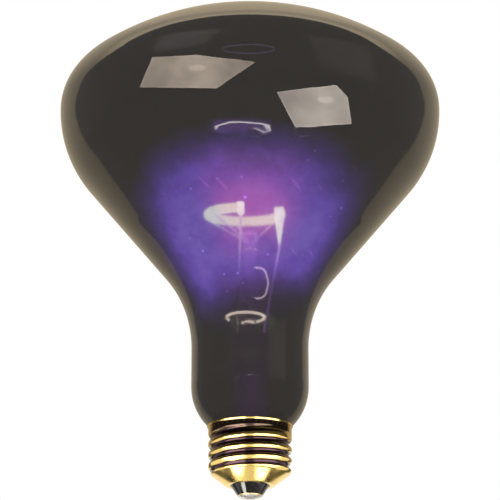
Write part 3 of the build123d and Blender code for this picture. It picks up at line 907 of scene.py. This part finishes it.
@dataclass
class ScrewCap:
    """Rolled brass shell with its thread, and the parts of its foot."""

    pitch: float = 25.4 / 7
    crest_radius: float = 13.15
    depth: float = 1.1
    first_root: float = 6.876
    turns: float = 3.6165
    fade: float = 0.4
    sheet: float = 0.25
    height: float = 23.9
    rim_lip: float = 0.45
    rim_flare: float = 0.7
    floor_z: float = 4.6
    floor_radius: float = 7.6
    opening: float = 6.3
    cone_angle: float = 53.5
    segments: int = 256
    row: float = 0.17

    def blank(self) -> list[tuple[float, float]]:
        """Profile of the shell before it is threaded, from the opening in its floor up to its rim.

        Returns:
            Radii and heights.
        """
        top = self.floor_z + (self.crest_radius - self.floor_radius) / math.tan(math.radians(self.cone_angle))
        corners = [
            (self.opening, self.floor_z, 0.0),
            (self.floor_radius, self.floor_z, 0.9),
            (self.crest_radius, top, 2.2),
            (self.crest_radius, self.height - self.rim_flare, 0.35),
            (self.crest_radius + self.rim_lip, self.height, 0.0),
        ]
        points = [(corners[0][0], corners[0][1])]
        for before, here, after in zip(corners, corners[1:], corners[2:]):
            spot = Vector(here[:2])
            back = (Vector(before[:2]) - spot).normalized()
            ahead = (Vector(after[:2]) - spot).normalized()
            half = back.angle(ahead) / 2
            cut = here[2] / math.tan(half)
            start, end = spot + back * cut, spot + ahead * cut
            points += Envelope.run(points[-1], tuple(start), self.row)
            center = spot + (back + ahead).normalized() * here[2] / math.sin(half)
            steps = max(3, math.ceil(here[2] * (math.pi - 2 * half) / self.row))
            for number in range(steps + 1):
                guess = start.lerp(end, number / steps) - center
                points.append(tuple(center + guess.normalized() * here[2]))
        last = (corners[-1][0], corners[-1][1])
        return points + Envelope.run(points[-1], last, self.row) + [last]

    def thread_tree(self) -> bpy.types.NodeTree:
        """Geometry tree that rolls the thread into a turned blank.

        Returns:
            The tree.
        """
        tree, board, entry = geometry_tree(
            "rolled_thread",
            {
                "Pitch": ("NodeSocketFloat", 0.0036),
                "Crest Radius": ("NodeSocketFloat", 0.013),
                "Depth": ("NodeSocketFloat", 0.0008),
                "First Root": ("NodeSocketFloat", 0.0073),
                "Turns": ("NodeSocketFloat", 3.5),
                "Fade": ("NodeSocketFloat", 0.4),
                "Finish": ("NodeSocketMaterial", None),
            },
        )
        get = entry.outputs
        pitch, depth = get["Pitch"], get["Depth"]
        parts = board.node("ShaderNodeSeparateXYZ", {0: board.node("GeometryNodeInputPosition").outputs[0]})
        across, deep, height = parts.outputs
        turn = board.math("ARCTAN2", deep, across)
        share = board.math("FRACT", board.math("ADD", board.math("DIVIDE", turn, math.tau), 1.0))
        lifted = board.math("SUBTRACT", height, get["First Root"])
        along = board.math("SUBTRACT", board.math("DIVIDE", lifted, pitch), share)
        nearest = board.math("ROUND", along)
        travelled = board.math("ADD", nearest, share)
        aside = board.math("MULTIPLY", board.math("ABSOLUTE", board.math("SUBTRACT", along, nearest)), pitch)
        quarter = board.math("DIVIDE", pitch, 4.0)
        bend = board.math(
            "DIVIDE",
            board.math("ADD", board.math("POWER", depth, 2.0), board.math("POWER", board.math("DIVIDE", pitch, 2.0), 2.0)),
            board.math("MULTIPLY", depth, 4.0),
        )
        root_part = self.sag(board, bend, board.math("MINIMUM", aside, quarter))
        crest_aside = board.math("SUBTRACT", board.math("DIVIDE", pitch, 2.0), board.math("MAXIMUM", aside, quarter))
        crest_part = self.sag(board, bend, crest_aside)
        half = board.math("DIVIDE", depth, 2.0)
        sunk = board.math("ADD", board.math("SUBTRACT", half, root_part), crest_part)
        end = board.math("ADD", get["Turns"], get["Fade"])
        out = board.step(travelled, 0.0, 1.0, 1.0, 0.0)
        board.feed(out.node.inputs["From Min"], board.math("SUBTRACT", get["Turns"], 0.05))
        board.feed(out.node.inputs["From Max"], end)
        sunk = board.math("MULTIPLY", sunk, out)
        radius = board.math("SQRT", board.math("ADD", board.math("POWER", across, 2.0), board.math("POWER", deep, 2.0)))
        limit = board.math("SUBTRACT", get["Crest Radius"], sunk)
        limit = board.math("ADD", limit, board.step(lifted, 0.0158, 0.0162, 0.0, 0.01))
        chosen = board.math("SMOOTH_MIN", radius, limit, 0.00012)
        ratio = board.math("DIVIDE", chosen, board.math("MAXIMUM", radius, 0.0001))
        place = board.node("ShaderNodeCombineXYZ", {0: board.math("MULTIPLY", across, ratio), 1: board.math("MULTIPLY", deep, ratio), 2: height})
        moved = board.node("GeometryNodeSetPosition", {"Geometry": get["Geometry"], "Position": place.outputs[0]})
        close_tree(board, moved.outputs[0], get["Finish"])
        return tree

    @staticmethod
    def sag(board: Board, bend: bpy.types.NodeSocket, aside: bpy.types.NodeSocket) -> bpy.types.NodeSocket:
        """Depth of an arc's edge below its middle.

        Args:
            board: The tree's board.
            bend: Radius of the arc.
            aside: Distance from its middle.

        Returns:
            The depth.
        """
        inside = board.math("SUBTRACT", board.math("POWER", bend, 2.0), board.math("POWER", aside, 2.0))
        return board.math("SUBTRACT", bend, board.math("SQRT", inside))

    def build(self, brass: bpy.types.Material) -> None:
        """Makes the threaded shell.

        Args:
            brass: Its finish.
        """
        blank = lathe("brass_shell", self.blank(), self.segments, closed=False)
        shell = run_tree(
            blank,
            self.thread_tree(),
            {
                "Pitch": self.pitch * MM,
                "Crest Radius": self.crest_radius * MM,
                "Depth": self.depth * MM,
                "First Root": self.first_root * MM,
                "Turns": self.turns,
                "Fade": self.fade,
                "Finish": brass,
            },
        )
        wall = shell.modifiers.new("sheet", "SOLIDIFY")
        wall.thickness = self.sheet * MM
        wall.offset = -1.0
        shell = harden(shell)
        settle(shell, "screw_shell", brass)


@dataclass
class Coil:
    """Lit coil in an open, tilted ring."""

    ring_radius: float = 11.9
    radius: float = 1.68
    wire: float = 0.27
    turns: int = 88
    start: float = -15.0
    sweep: float = 278.0
    shift: float = -1.8
    height: float = 95.983
    tilt: float = 8.0
    steps: int = 14
    sides: int = 6

    def tree(self) -> bpy.types.NodeTree:
        """Geometry tree that winds a wire round an open ring.

        Returns:
            The tree.
        """
        tree, board, entry = geometry_tree(
            "wound_ring",
            {
                "Ring Radius": ("NodeSocketFloat", 0.012),
                "Coil Radius": ("NodeSocketFloat", 0.0012),
                "Wire Radius": ("NodeSocketFloat", 0.0002),
                "Turns": ("NodeSocketFloat", 50.0),
                "Points": ("NodeSocketInt", 700),
                "Sides": ("NodeSocketInt", 6),
                "Start": ("NodeSocketFloat", 0.0),
                "Sweep": ("NodeSocketFloat", 4.8),
                "Tilt": ("NodeSocketFloat", 0.1),
                "Centre": ("NodeSocketVector", (0.0, 0.0, 0.0)),
                "Finish": ("NodeSocketMaterial", None),
            },
        )
        get = entry.outputs
        line = board.node("GeometryNodeMeshLine", {"Count": get["Points"]}, mode="OFFSET")
        path = board.node("GeometryNodeMeshToCurve", {"Mesh": line.outputs[0]})
        number = board.node("GeometryNodeInputIndex").outputs[0]
        share = board.math("DIVIDE", number, board.math("SUBTRACT", get["Points"], 1.0))
        turn = board.math("ADD", board.math("MULTIPLY", share, get["Sweep"]), get["Start"])
        wind = board.math("MULTIPLY", board.math("MULTIPLY", share, get["Turns"]), math.tau)
        reach = board.math("ADD", get["Ring Radius"], board.math("MULTIPLY", get["Coil Radius"], board.math("COSINE", wind)))
        place = board.node(
            "ShaderNodeCombineXYZ",
            {
                0: board.math("MULTIPLY", reach, board.math("COSINE", turn)),
                1: board.math("MULTIPLY", reach, board.math("SINE", turn)),
                2: board.math("MULTIPLY", get["Coil Radius"], board.math("SINE", wind)),
            },
        )
        wound = board.node("GeometryNodeSetPosition", {"Geometry": path.outputs[0], "Position": place.outputs[0]})
        section = board.node("GeometryNodeCurvePrimitiveCircle", {"Resolution": get["Sides"], "Radius": get["Wire Radius"]})
        wire = board.node(
            "GeometryNodeCurveToMesh", {"Curve": wound.outputs[0], "Profile Curve": section.outputs[0], "Fill Caps": True}
        )
        lean = board.node("ShaderNodeCombineXYZ", {0: get["Tilt"]})
        moved = board.node(
            "GeometryNodeTransform",
            {"Geometry": wire.outputs[0], "Translation": get["Centre"], "Rotation": lean.outputs[0]},
        )
        close_tree(board, moved.outputs[0], get["Finish"])
        return tree

    def build(self, hot: bpy.types.Material) -> bpy.types.Object:
        """Winds the coil.

        Args:
            hot: Its finish.

        Returns:
            The coil.
        """
        seed = mesh_object("lit_coil", [(0.0, 0.0, 0.0)], [])
        made = run_tree(
            seed,
            self.tree(),
            {
                "Ring Radius": self.ring_radius * MM,
                "Coil Radius": (self.radius - self.wire) * MM,
                "Wire Radius": self.wire * MM,
                "Turns": float(self.turns),
                "Points": self.turns * self.steps,
                "Sides": self.sides,
                "Start": math.radians(self.start),
                "Sweep": math.radians(self.sweep),
                "Tilt": math.radians(self.tilt),
                "Centre": (self.shift * MM, 0.0, self.height * MM),
                "Finish": hot,
            },
        )
        made.data.polygons.foreach_set("use_smooth", [True] * len(made.data.polygons))
        settle(made, "filament", hot)
        return made


@dataclass
class Studio:
    """Floor, white surround, cards, flag, tray, thin strips that paint reflected lines into the head, soft lamps and
    the camera. Lengths are metres and angles degrees.
    """

    camera_place: tuple[float, float, float] = (0.0, -0.687, -0.1437)
    camera_pitch: float = 18.3
    focal: float = 158.1
    floor_z: float = -0.30
    floor_half: float = 4.0
    dark: tuple[float, float, float] = (0.085, 0.080, 0.070)
    glass: BVHTree | None = None
    skin: bpy.types.Mesh | None = None
    bulb: bpy.types.Object | None = None

    def build(self, bulb: bpy.types.Object) -> None:
        """Sets everything up.

        Args:
            bulb: The blown glass.
        """
        shape = bmesh.new()
        shape.from_mesh(bulb.data)
        self.glass = BVHTree.FromBMesh(shape)
        shape.free()
        self.skin = bulb.data
        self.bulb = bulb
        self.camera()
        self.world()
        self.floor()
        self.cards()
        self.flag()
        self.tray()
        self.strips()
        self.lamps()

    def camera(self) -> None:
        """Places the camera, which looks up at the lamp."""
        data = bpy.data.cameras.new("camera")
        data.lens = self.focal
        data.sensor_width = 36.0
        data.clip_start = 0.01
        data.clip_end = 50.0
        made = bpy.data.objects.new("camera", data)
        made.location = self.camera_place
        made.rotation_euler = Euler((math.radians(90.0 + self.camera_pitch), 0.0, 0.0))
        bpy.context.scene.collection.objects.link(made)
        bpy.context.scene.camera = made

    def world(self) -> None:
        """White to the camera, soft grey to matt surfaces, and a studio's light and dark sides to gloss."""
        world = bpy.data.worlds.new("studio")
        bpy.context.scene.world = world
        world.use_nodes = True
        world.node_tree.nodes.clear()
        board = Board(world.node_tree)
        way = board.node("ShaderNodeTexCoord").outputs["Generated"]
        parts = board.node("ShaderNodeSeparateXYZ", {0: way})
        deep, up = parts.outputs[1], parts.outputs[2]
        edge = board.step(up, 0.15, 0.70, 0.50, 0.0)
        past = board.math("SUBTRACT", deep, edge)
        behind = board.step(past, 0.085, 0.125)
        near = board.step(deep, 0.10, 0.38, 2.7, 1.15)
        top = board.math("MULTIPLY", near, board.step(deep, 0.38, 0.85, 1.0, 0.6))
        side = board.step(up, -0.3, 0.25, 0.42, 0.50)
        level = board.step(up, 0.25, 0.75)
        board.feed(level.node.inputs["To Min"], side)
        board.feed(level.node.inputs["To Max"], top)
        tan = board.node("ShaderNodeVectorMath", {0: (1.0, 0.82, 0.54), "Scale": level}, operation="SCALE").outputs[0]
        gloss = board.blend(behind, (*self.dark, 1.0), tan)
        rays = board.node("ShaderNodeLightPath")
        plain = board.blend(rays.outputs["Is Glossy Ray"], (0.55, 0.55, 0.55, 1.0), gloss)
        seen = board.math("MAXIMUM", rays.outputs["Is Camera Ray"], rays.outputs["Is Transmission Ray"])
        color = board.blend(seen, plain, (1.0, 1.0, 1.0, 1.0))
        back = board.node("ShaderNodeBackground", {"Color": color, "Strength": 1.0})
        board.node("ShaderNodeOutputWorld", {"Surface": back.outputs[0]})

    def floor(self) -> None:
        """Lays the pale floor well below the hanging lamp."""
        half = self.floor_half
        corners = [(-half, -half, self.floor_z), (half, -half, self.floor_z), (half, half, self.floor_z), (-half, half, self.floor_z)]
        made = mesh_object("floor", corners, [(0, 1, 2, 3)], smooth=False)
        material = bpy.data.materials.new("floor")
        material.use_nodes = True
        shader = material.node_tree.nodes["Principled BSDF"]
        shader.inputs["Base Color"].default_value = (0.78, 0.77, 0.75, 1.0)
        shader.inputs["Roughness"].default_value = 0.8
        made.data.materials.append(material)
        made.visible_glossy = False

    def cards(self) -> None:
        """Hangs the two bright cards whose reflections show in the glass."""
        self.card(
            "card_left",
            [(139.5, 87.0), (152.5, 57.0), (197.0, 55.0), (255.4, 62.0), (217.0, 88.5)],
            (1.0, 0.83, 0.68),
            7.0,
            (197.0, 67.6),
        )
        self.card(
            "card_right",
            [(277.0, 92.0), (335.7, 85.0), (347.5, 97.0), (351.3, 124.0), (295.0, 127.3)],
            (1.0, 0.88, 0.78),
            8.3,
            (325.5, 99.5),
        )

    def card(self, name: str, outline: list[tuple[float, float]], color: tuple, strength: float, spot: tuple[float, float]) -> None:
        """Hangs one bright card so that the glass mirrors it inside an outline of the picture.

        Args:
            name: Its name.
            outline: Corners of its mirrored image, in pixels of a picture 500 wide.
            color: Its colour.
            strength: Its strength.
            spot: Middle of its brighter spot, in the same pixels.
        """
        middle = [sum(corner[axis] for corner in outline) / len(outline) for axis in (0, 1)]
        rings = 6
        rim: list[tuple[float, float]] = []
        for here, there in zip(outline, outline[1:] + outline[:1]):
            rim += [(here[0] + (there[0] - here[0]) * n / 8, here[1] + (there[1] - here[1]) * n / 8) for n in range(8)]
        dots = [tuple(middle)]
        for ring in range(1, rings + 1):
            share = ring / rings
            dots += [(middle[0] + (x - middle[0]) * share, middle[1] + (y - middle[1]) * share) for x, y in rim]
        points = [self.mirrored(dot) for dot in dots]
        count = len(rim)
        faces = [(0, 1 + n, 1 + (n + 1) % count) for n in range(count)]
        for ring in range(1, rings):
            low, high = 1 + (ring - 1) * count, 1 + ring * count
            faces += [(low + n, high + n, high + (n + 1) % count, low + (n + 1) % count) for n in range(count)]
        made = mesh_object(name, points, faces, smooth=False)
        shares = made.data.attributes.new("edge_share", "FLOAT", "POINT")
        picture = made.data.attributes.new("picture", "FLOAT_VECTOR", "POINT")
        for number, dot in enumerate(dots):
            shares.data[number].value = 0.0 if number == 0 else (1 + (number - 1) // count) / rings
            picture.data[number].vector = (dot[0], dot[1], 0.0)
        material, board, light = self.emitter(name)
        share = board.node("ShaderNodeAttribute", attribute_name="edge_share").outputs["Fac"]
        place = board.node("ShaderNodeAttribute", attribute_name="picture").outputs["Vector"]
        uneven = board.step(board.noise(place, 0.055, 4.0, 0.6), 0.3, 0.7, 0.84, 1.10)
        line = board.step(share, 0.93, 0.97, 0.0, 0.22)
        parts = board.node("ShaderNodeSeparateXYZ", {0: place})
        aside = board.math("POWER", board.math("DIVIDE", board.math("SUBTRACT", parts.outputs[0], spot[0]), 9.0), 2.0)
        away = board.math("POWER", board.math("DIVIDE", board.math("SUBTRACT", parts.outputs[1], spot[1]), 3.4), 2.0)
        bright = board.step(board.math("ADD", aside, away), 0.5, 1.3, 0.30, 0.0)
        fade = board.step(board.math("ABSOLUTE", board.math("SUBTRACT", parts.outputs[0], spot[0])), 0.0, 52.0, 1.12, 0.72)
        whole = board.math("MULTIPLY", board.math("ADD", board.math("ADD", uneven, line), bright), fade)
        rays = board.node("ShaderNodeLightPath")
        seen = board.math("LESS_THAN", rays.outputs["Transmission Depth"], 0.5)
        board.feed(light.inputs["Color"], board.blend(seen, (*self.dark, 1.0), (*color, 1.0)))
        board.feed(light.inputs["Strength"], board.math("MAXIMUM", board.math("MULTIPLY", board.math("MULTIPLY", whole, strength), seen), 1.0))
        self.gloss_only(made, material)
        self.link_light(made, "INCLUDE")

    def mirrored(self, dot: tuple[float, float], reach: float = 3.0) -> tuple[float, float, float]:
        """Place, far off, that the glass mirrors at one pixel.

        Args:
            dot: Pixel of a picture 500 wide.
            reach: Distance from the glass.

        Returns:
            The place.
        """
        turn = Euler((math.radians(90.0 + self.camera_pitch), 0.0, 0.0)).to_matrix()
        half = 18.0 / self.focal
        way = turn @ Vector(((dot[0] - 250.0) / 250.0 * half, (250.0 - dot[1]) / 250.0 * half, -1.0)).normalized()
        place, _, number, _ = self.glass.ray_cast(Vector(self.camera_place), way)
        corners = [self.skin.vertices[corner] for corner in self.skin.polygons[number].vertices]
        shares = poly_3d_calc([corner.co for corner in corners], place)
        normal = sum((corner.normal * share for corner, share in zip(corners, shares)), Vector()).normalized()
        return tuple(place + way.reflect(normal) * reach)

    def link_light(self, made: bpy.types.Object, state: str) -> None:
        """Keeps a staged light to the blown glass, or off it.

        Args:
            made: The light.
            state: INCLUDE to light the glass alone, EXCLUDE to light all but the glass.
        """
        group = bpy.data.collections.new(made.name + "_link")
        group.objects.link(self.bulb)
        group.collection_objects[0].light_linking.link_state = state
        made.light_linking.receiver_collection = group

    def emitter(self, name: str) -> tuple[bpy.types.Material, Board, bpy.types.Node]:
        """Makes a plain emission material.

        Args:
            name: Its name.

        Returns:
            The material, a board on its tree and its Emission node.
        """
        material = bpy.data.materials.new(name)
        material.use_nodes = True
        material.node_tree.nodes.clear()
        board = Board(material.node_tree)
        light = board.node("ShaderNodeEmission")
        board.node("ShaderNodeOutputMaterial", {"Surface": light.outputs[0]})
        material.cycles.emission_sampling = "NONE"
        return material, board, light

    def gloss_only(self, made: bpy.types.Object, material: bpy.types.Material) -> None:
        """Stages an object that only mirrored rays see.

        Args:
            made: The object.
            material: Its material.
        """
        made.data.materials.clear()
        made.data.materials.append(material)
        made.visible_camera = False
        made.visible_diffuse = False
        made.visible_transmission = False
        made.visible_shadow = False

    def flag(self) -> None:
        """Stands a dark flag in front of the neck and cone, which keeps the cards out of their reflections."""
        radius, low, high, widest, steps = 0.062, -0.05, 0.079, 100.0, 40
        turns = [math.radians(widest * (2.0 * n / steps - 1.0)) for n in range(steps + 1)]
        points = [(radius * math.sin(turn), -radius * math.cos(turn), height) for height in (low, high) for turn in turns]
        faces = [(n, n + 1, n + steps + 2, n + steps + 1) for n in range(steps)]
        made = mesh_object("flag", points, faces, smooth=False)
        material, board, light = self.emitter("flag")
        board.feed(light.inputs["Color"], (*self.dark, 1.0))
        self.gloss_only(made, material)

    def tray(self) -> None:
        """Sets a bright tray under the cap, for the brass to mirror."""
        made = lathe("tray", [(0.0, -30.0), (24.0, -30.0), (24.0, 15.0)], 64, closed=False)
        material, board, light = self.emitter("tray")
        parts = board.node("ShaderNodeSeparateXYZ", {0: board.node("ShaderNodeTexCoord").outputs["Object"]})
        across, deep, up = parts.outputs
        turn = board.math("ARCTAN2", across, board.math("MULTIPLY", deep, -1.0))
        left = board.math("MULTIPLY", board.step(turn, -1.10, -0.92), board.step(turn, -0.26, -0.12, 1.0, 0.0))
        right = board.math("MULTIPLY", board.step(turn, 0.12, 0.26), board.step(turn, 1.05, 1.30, 1.0, 0.0))
        wall = board.math("ADD", board.math("MULTIPLY", left, 4.4), board.math("MULTIPLY", right, 3.2))
        wall = board.math("ADD", board.math("MULTIPLY", wall, board.step(up, -0.018, -0.010)), board.step(up, -0.018, -0.010, 0.25, 1.05))
        low = board.math("MULTIPLY", board.step(turn, -1.15, -1.05), board.step(turn, -0.70, -0.60, 1.0, 0.0))
        low = board.math("MULTIPLY", low, board.step(up, -0.018, -0.015, 14.0, 0.0))
        aside = board.math("ABSOLUTE", board.math("SUBTRACT", board.math("ABSOLUTE", turn), 1.98))
        wall = board.math("MULTIPLY", board.math("ADD", wall, low), board.step(aside, 0.10, 0.22, 0.12, 1.0))
        spots = board.math("ADD", self.spot(board, across, deep, -0.0155, -0.0050, 0.588, 9.0), self.spot(board, across, deep, 0.0155, -0.0030, -0.588, 8.0))
        spots = board.math("ADD", spots, 0.85)
        rise = board.step(up, -0.0299, -0.0297)
        strength = board.math("ADD", board.math("MULTIPLY", wall, rise), board.math("MULTIPLY", spots, board.math("SUBTRACT", 1.0, rise)))
        board.feed(light.inputs["Color"], (1.0, 0.96, 0.88, 1.0))
        board.feed(light.inputs["Strength"], strength)
        self.gloss_only(made, material)
        self.link_light(made, "EXCLUDE")

    @staticmethod
    def spot(board: Board, across: object, deep: object, middle_x: float, middle_y: float, turn: float, strength: float) -> bpy.types.NodeSocket:
        """Soft oval spot on the tray's floor.

        Args:
            board: The tray's board.
            across: X of the shaded point.
            deep: Y of the shaded point.
            middle_x: X of its middle.
            middle_y: Y of its middle.
            turn: Angle of its long way.
            strength: Its strength.

        Returns:
            Its strength at the shaded point.
        """
        aside = board.math("SUBTRACT", across, middle_x)
        away = board.math("SUBTRACT", deep, middle_y)
        cosine, sine = math.cos(turn), -math.sin(turn)
        long_way = board.math("ADD", board.math("MULTIPLY", aside, cosine), board.math("MULTIPLY", away, sine))
        short_way = board.math("SUBTRACT", board.math("MULTIPLY", away, cosine), board.math("MULTIPLY", aside, sine))
        first = board.math("POWER", board.math("DIVIDE", long_way, 0.0100), 2.0)
        second = board.math("POWER", board.math("DIVIDE", short_way, 0.0019), 2.0)
        return board.step(board.math("ADD", first, second), 0.5, 1.4, strength, 0.0)

    def strips(self) -> None:
        """Hangs thin strips, lit only for the glass, that paint reflected lines into the head: a bright hook with a
        soft violet glow round it, and a faint ring near its top.
        """
        cream, violet = (1.0, 0.93, 0.95), (0.50, 0.24, 1.0)
        hook = [(213.2, 126.5), (220.0, 123.6), (229.7, 121.9), (244.2, 121.9), (258.7, 123.1), (269.6, 125.5), (271.2, 127.3), (263.6, 129.2), (250.3, 129.2)]
        ring = [(248.5 + 26.0 * math.cos(math.radians(15.0 * n)), 49.0 + 4.4 * math.sin(math.radians(15.0 * n))) for n in range(25)]
        # Each strip paints one reflected line into the head.
        for name, dots, width, color, strength in (
            ("hook_glow", [(208.0, 126.0), (228.0, 124.5), (250.0, 124.5), (276.0, 127.5)], 17.0, violet, 1.9),
            ("hook", hook, 2.3, cream, 11.0),
            ("ring", ring, 1.8, (0.7, 0.5, 1.0), 1.3),
        ):
            self.strip(name, dots, width, tuple(part * strength for part in color))

    def strip(self, name: str, dots: list[tuple[float, float]], width: float, color: tuple[float, float, float]) -> None:
        """Hangs one strip so that the glass mirrors it along a line of the picture.

        Args:
            name: Its name.
            dots: Corners of its mirrored line, in pixels of a picture 500 wide.
            width: Width of that line, in the same pixels.
            color: Its light.
        """
        line: list[Vector] = []
        for here, there in zip(dots, dots[1:]):
            line += [Vector(here).lerp(Vector(there), n / 6) for n in range(6)]
        line.append(Vector(dots[-1]))
        points, aside = [], []
        for number, dot in enumerate(line):
            along = (line[min(number + 2, len(line) - 1)] - line[max(number - 2, 0)]).normalized()
            across = Vector((-along.y, along.x)) * width / 2
            for share in (-1.0, -0.5, 0.0, 0.5, 1.0):
                points.append(self.mirrored(tuple(dot + across * share), 2.9 + width * 0.004))
                aside.append(abs(share))
        faces = [(5 * n + m, 5 * n + m + 1, 5 * n + m + 6, 5 * n + m + 5) for n in range(len(line) - 1) for m in range(4)]
        made = mesh_object(name, points, faces, smooth=False)
        shares = made.data.attributes.new("aside", "FLOAT", "POINT")
        ends = made.data.attributes.new("end", "FLOAT", "POINT")
        for number, share in enumerate(aside):
            shares.data[number].value = share
            ends.data[number].value = min(number // 5, len(line) - 1 - number // 5) / 3
        material, board, light = self.emitter(name)
        soft = board.step(board.node("ShaderNodeAttribute", attribute_name="aside").outputs["Fac"], 0.2, 1.0, 1.0, 0.0)
        soft = board.math("MULTIPLY", soft, board.step(board.node("ShaderNodeAttribute", attribute_name="end").outputs["Fac"], 0.0, 1.0))
        rays = board.node("ShaderNodeLightPath")
        soft = board.math("MULTIPLY", soft, board.math("LESS_THAN", rays.outputs["Transmission Depth"], 0.5))
        board.feed(light.inputs["Color"], (*color, 1.0))
        clear = board.node("ShaderNodeBsdfTransparent")
        mixed = board.node("ShaderNodeMixShader", {0: soft, 1: clear.outputs[0], 2: light.outputs[0]})
        output = next(node for node in material.node_tree.nodes if node.type == "OUTPUT_MATERIAL")
        board.feed(output.inputs["Surface"], mixed.outputs[0])
        self.gloss_only(made, material)
        self.link_light(made, "INCLUDE")

    def lamps(self) -> None:
        """Hangs two soft lamps that light matt surfaces."""
        for name, place, size, watts in (
            ("key", (-0.9, -1.0, 1.1), 0.9, 16.0),
            ("fill", (1.1, -0.7, 0.6), 0.9, 8.0),
        ):
            data = bpy.data.lights.new(name, "AREA")
            data.size = size
            data.energy = watts
            made = bpy.data.objects.new(name, data)
            made.location = place
            made.rotation_euler = (Vector((0.0, 0.0, 0.08)) - Vector(place)).to_track_quat("-Z", "Y").to_euler()
            made.visible_glossy = False
            made.visible_camera = False
            bpy.context.scene.collection.objects.link(made)


@dataclass
class Mount:
    """Glass stem, leads, supports and the small parts of the cap, which keep their CAD shapes."""

    def build(self, effects: SharedEffects) -> None:
        """Dresses the nodes.

        Args:
            effects: The shared groups.
        """
        clear = ClearGlassFinish("clear_stem_glass").build(effects)
        arbor = ClearGlassFinish("clear_arbor_glass", near_color=(0.62, 0.30, 0.72), far_color=(0.42, 0.10, 0.60), lit=0.9).build(effects)
        # The lit values paint the coil's light onto these parts as emission.
        nickel = MetalFinish("lit_nickel", color=(0.66, 0.65, 0.62), roughness=0.3, lit=3.4, near_color=(0.95, 0.8, 0.9), far_color=(0.45, 0.16, 0.85), floor_light=0.42).build(effects)
        faint = MetalFinish("coil_lit_faint_nickel", color=(0.66, 0.65, 0.62), roughness=0.3, lit=4.8, near_color=(0.74, 1.0, 0.52), far_color=(0.45, 0.14, 0.70), floor_light=0.06).build(effects)
        clamp = MetalFinish("coil_lit_clamp", color=(0.7, 0.69, 0.66), roughness=0.3, lit=5.4, near_color=(0.74, 1.0, 0.52), far_color=(0.72, 0.9, 0.55), floor_light=0.55).build(effects)
        steel = MetalFinish("lit_wire", color=(0.5, 0.5, 0.52), roughness=0.35, lit=4.0, near_color=(0.70, 0.90, 0.80), floor_light=0.05).build(effects)
        loop = MetalFinish("coil_lit_loop_wire", color=(0.6, 0.6, 0.6), roughness=0.3, lit=8.5, far_color=(0.95, 0.72, 0.95), floor_light=0.75).build(effects)
        getter = MetalFinish("coil_lit_getter_coat", color=(0.72, 0.68, 0.58), roughness=0.4, lit=8.0, far_color=(1.0, 0.90, 0.70), floor_light=0.9).build(effects)
        copper = MetalFinish("copper_wire", color=(0.72, 0.38, 0.24), tarnish=(0.35, 0.16, 0.10)).build(effects)
        brass = MetalFinish("plate_brass", color=(0.82, 0.58, 0.25), tarnish=(0.4, 0.24, 0.08)).build(effects)
        solder = MetalFinish("solder", color=(0.80, 0.79, 0.77), tarnish=(0.42, 0.41, 0.40), roughness=0.22, wear_scale=700.0, bump=0.5).build(effects)
        cement = MattFinish("cement").build(effects)
        black = EnamelFinish("black_glass").build(effects)
        plan = {
            clear: ("stem_flare", "exhaust_tube"),
            arbor: ("arbor_rod",),
            nickel: ("lead_side",),
            faint: ("lead_front",),
            clamp: ("lead_clamp_side", "lead_clamp_front"),
            steel: ("support_wire_1", "support_wire_2", "support_wire_3", "support_wire_4"),
            loop: ("tie_loop",),
            getter: ("getter_ring",),
            copper: ("seal_wire_side", "seal_wire_front", "outer_lead_side", "outer_lead_contact"),
            brass: ("centre_contact",),
            solder: ("contact_solder", "side_solder"),
            cement: ("basing_cement",),
            black: ("base_insulator",),
        }
        for material, nodes in plan.items():
            for node in nodes:
                dress(node, material)


def main() -> None:
    """Builds the lamp and its studio in order."""
    logging.basicConfig(level=logging.INFO, format="%(name)s: %(message)s")
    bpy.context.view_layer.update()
    bpy.context.scene.view_settings.view_transform = "Standard"
    effects = SharedEffects()
    bulb = Envelope().build(DarkGlassFinish("dark_violet_glass").build(effects))
    shell_brass = MetalFinish(
        "rolled_brass", color=(0.95, 0.70, 0.24), tarnish=(0.60, 0.38, 0.11), roughness=0.11, spread=0.10, wear_amount=0.3, bump=0.06,
        # Radii between which the painted groove shade fades out.
        groove=(0.01268, 0.01298),
    )
    ScrewCap().build(shell_brass.build(effects))
    Coil().build(HotCoilFinish("hot_tungsten").build(effects))
    Mount().build(effects)
    Studio().build(bulb)


if __name__ == "__main__":
    main()
